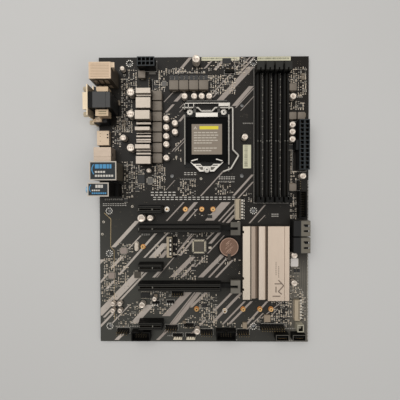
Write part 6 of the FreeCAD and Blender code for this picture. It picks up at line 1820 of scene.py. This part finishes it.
def add_crystals():
    """Oval crystal cans, small shielded boxes and one open inductor."""
    silver = finish("crystal_can", srgb(206, 194, 178), 0.35, 0.7, 0.05, 1500, bump=0.04)
    shapes = []
    for u, v, along_u, along_v, height in ((39.9, 201.8, 4.4, 10.0, 3.4),
                                           (55.0, 285.6, 9.6, 4.0, 3.2),
                                           (26.4, 224.6, 3.2, 2.5, 0.9),
                                           (118.6, 203.6, 3.2, 2.5, 0.9),
                                           (149.0, 176.4, 3.0, 2.2, 0.9)):
        radius = min(along_u, along_v) / 2 - 0.02 if height > 1 else 0.3
        shapes.append(moved(rounded_block(along_u, along_v, radius,
                                          [(0, 0), (0.3, 0), (0.35, 0.25),
                                           (height - 0.3, 0.25), (height, 0.55)], 8),
                            u, v, TOP))
    beige = finish("ferrite_beige", srgb(150, 134, 114), 0.6, 0.1, 0.12, 2500, bump=0.2)
    coils = [moved(slab(along_u, along_v, height, radius, edge), u, v, TOP)
             for along_u, along_v, height, radius, edge, u, v in (
                 (6.8, 7.6, 2.4, 0.4, 0.2, 179.5, 279.0),
                 (4.6, 6.4, 2.4, 0.4, 0.2, 155.5, 286.6),
                 (6.4, 6.4, 3.0, 0.9, 0.3, 205.2, 137.8),
                 (4.4, 4.4, 2.2, 0.7, 0.3, 217.6, 62.6),
                 (5.0, 5.0, 2.2, 0.7, 0.3, 20.4, 48.6))]
    tantalum = finish("tantalum_case", srgb(120, 108, 92), 0.5, 0.0, 0.1, 2500, bump=0.1)
    cases = [moved(slab(3.6, 2.8, 1.9, 0.2, 0.1), u, v, TOP)
             for u, v in ((64.6, 116.4), (64.6, 120.2), (27.0, 68.0), (27.0, 72.0),
                          (217.0, 20.0), (217.0, 24.0), (60.2, 254.6), (90.6, 283.4))]
    piece("crystals", [(merged(*shapes), silver), (merged(*coils), beige),
                       (merged(*cases), tantalum)])


def add_solder_beads(settings):
    """Rows of solder beads under every slot and header, clear of the CAD solder tails."""
    bead = lathe([(0, -1.1), (0.18, -1.08), (0.34, -0.5), (settings.bead, -0.12),
                  (settings.bead + 0.1, 0.0), (0, 0.0)], 8)
    spots = []
    for node in MEMORY_SLOTS:
        low_u, low_v, _, high_u, high_v, _ = span(node)
        at = np.arange(low_v + 8, high_v - 8, 1.7)
        for side in (-1.6, -0.5, 0.5, 1.6):
            spots.append(np.column_stack([np.full(len(at), (low_u + high_u) / 2 + side),
                                          at + (side > 0) * 0.85]))
    for low_u, low_v, _, high_u, high_v, _ in card_rows():
        at = np.arange(low_u + 3, low_u + (86 if high_u - low_u > LONG_SLOT else 24), 2.0)
        for side in (-1.9, -0.7, 0.7, 1.9):
            spots.append(np.column_stack([at + (side > 0),
                                          np.full(len(at), (low_v + high_v) / 2 + side)]))
    spots.append(middles(islands("header_pins")))
    spots = np.concatenate(spots)
    tails = middles(islands("solder_tails"))
    near = np.hypot(*(spots[:, None] - tails[None]).transpose(2, 0, 1)).min(1)
    backplate = span("socket_backplate")
    outside = ~((spots[:, 0] > backplate[0]) & (spots[:, 0] < backplate[3])
                & (spots[:, 1] > backplate[1]) & (spots[:, 1] < backplate[4]))
    spots = spots[(near > 1.3) & outside]
    solder = finish("solder_bead", srgb(176, 172, 164), 0.32, 0.8, 0.1, 2500, bump=0.08)
    dress(solder, "solder_tails")
    piece("solder_beads", [(copies(bead, np.column_stack([spots, np.zeros(len(spots))])),
                            solder)])


class MOTHERBOARD_OT_parts(Operator):
    """Finish the coin cell and its tray, the chips, the crystals and the solder underneath"""
    bl_idname = "motherboard.parts"
    bl_label = "Battery, chips and crystals"

    def execute(self, context):
        settings = context.scene.motherboard_parts
        add_cell_details(settings)
        add_chip_faces()
        add_crystals()
        add_solder_beads(settings)
        return {"FINISHED"}


# --- sidebar and running ---

GROUPS = (
    (MOTHERBOARD_OT_stage, StageSettings),
    (MOTHERBOARD_OT_print, BoardSettings),
    (MOTHERBOARD_OT_small_parts, SmallPartSettings),
    (MOTHERBOARD_OT_cans, CanSettings),
    (MOTHERBOARD_OT_chokes, ChokeSettings),
    (MOTHERBOARD_OT_socket, SocketSettings),
    (MOTHERBOARD_OT_heatsinks, HeatsinkSettings),
    (MOTHERBOARD_OT_ports, PortSettings),
    (MOTHERBOARD_OT_labels, LabelSettings),
    (MOTHERBOARD_OT_slots, SlotSettings),
    (MOTHERBOARD_OT_cards, CardSettings),
    (MOTHERBOARD_OT_headers, HeaderSettings),
    (MOTHERBOARD_OT_parts, PartSettings),
)


def settings_name(operator):
    """Where a group's settings stand on the scene: its operator's name with a line for the dot."""
    return operator.bl_idname.replace(".", "_")


class MOTHERBOARD_PT_sidebar(Panel):
    """One button for each group of pieces, with its settings under it"""
    bl_idname = "MOTHERBOARD_PT_sidebar"
    bl_label = "Motherboard"
    bl_space_type = "VIEW_3D"
    bl_region_type = "UI"
    bl_category = "Motherboard"

    def draw(self, context):
        for operator, group in GROUPS:
            box = self.layout.box()
            box.operator(operator.bl_idname)
            for name in group.__annotations__:
                box.prop(getattr(context.scene, settings_name(operator)), name)


def register():
    for operator, group in GROUPS:
        bpy.utils.register_class(group)
        setattr(bpy.types.Scene, settings_name(operator), PointerProperty(type=group))
        bpy.utils.register_class(operator)
    bpy.utils.register_class(MOTHERBOARD_PT_sidebar)


def unregister():
    bpy.utils.unregister_class(MOTHERBOARD_PT_sidebar)
    for operator, group in reversed(GROUPS):
        bpy.utils.unregister_class(operator)
        delattr(bpy.types.Scene, settings_name(operator))
        bpy.utils.unregister_class(group)


def main():
    register()
    for operator, _ in GROUPS:
        family, name = operator.bl_idname.split(".")
        getattr(getattr(bpy.ops, family), name)()


if __name__ == "__main__":
    main()
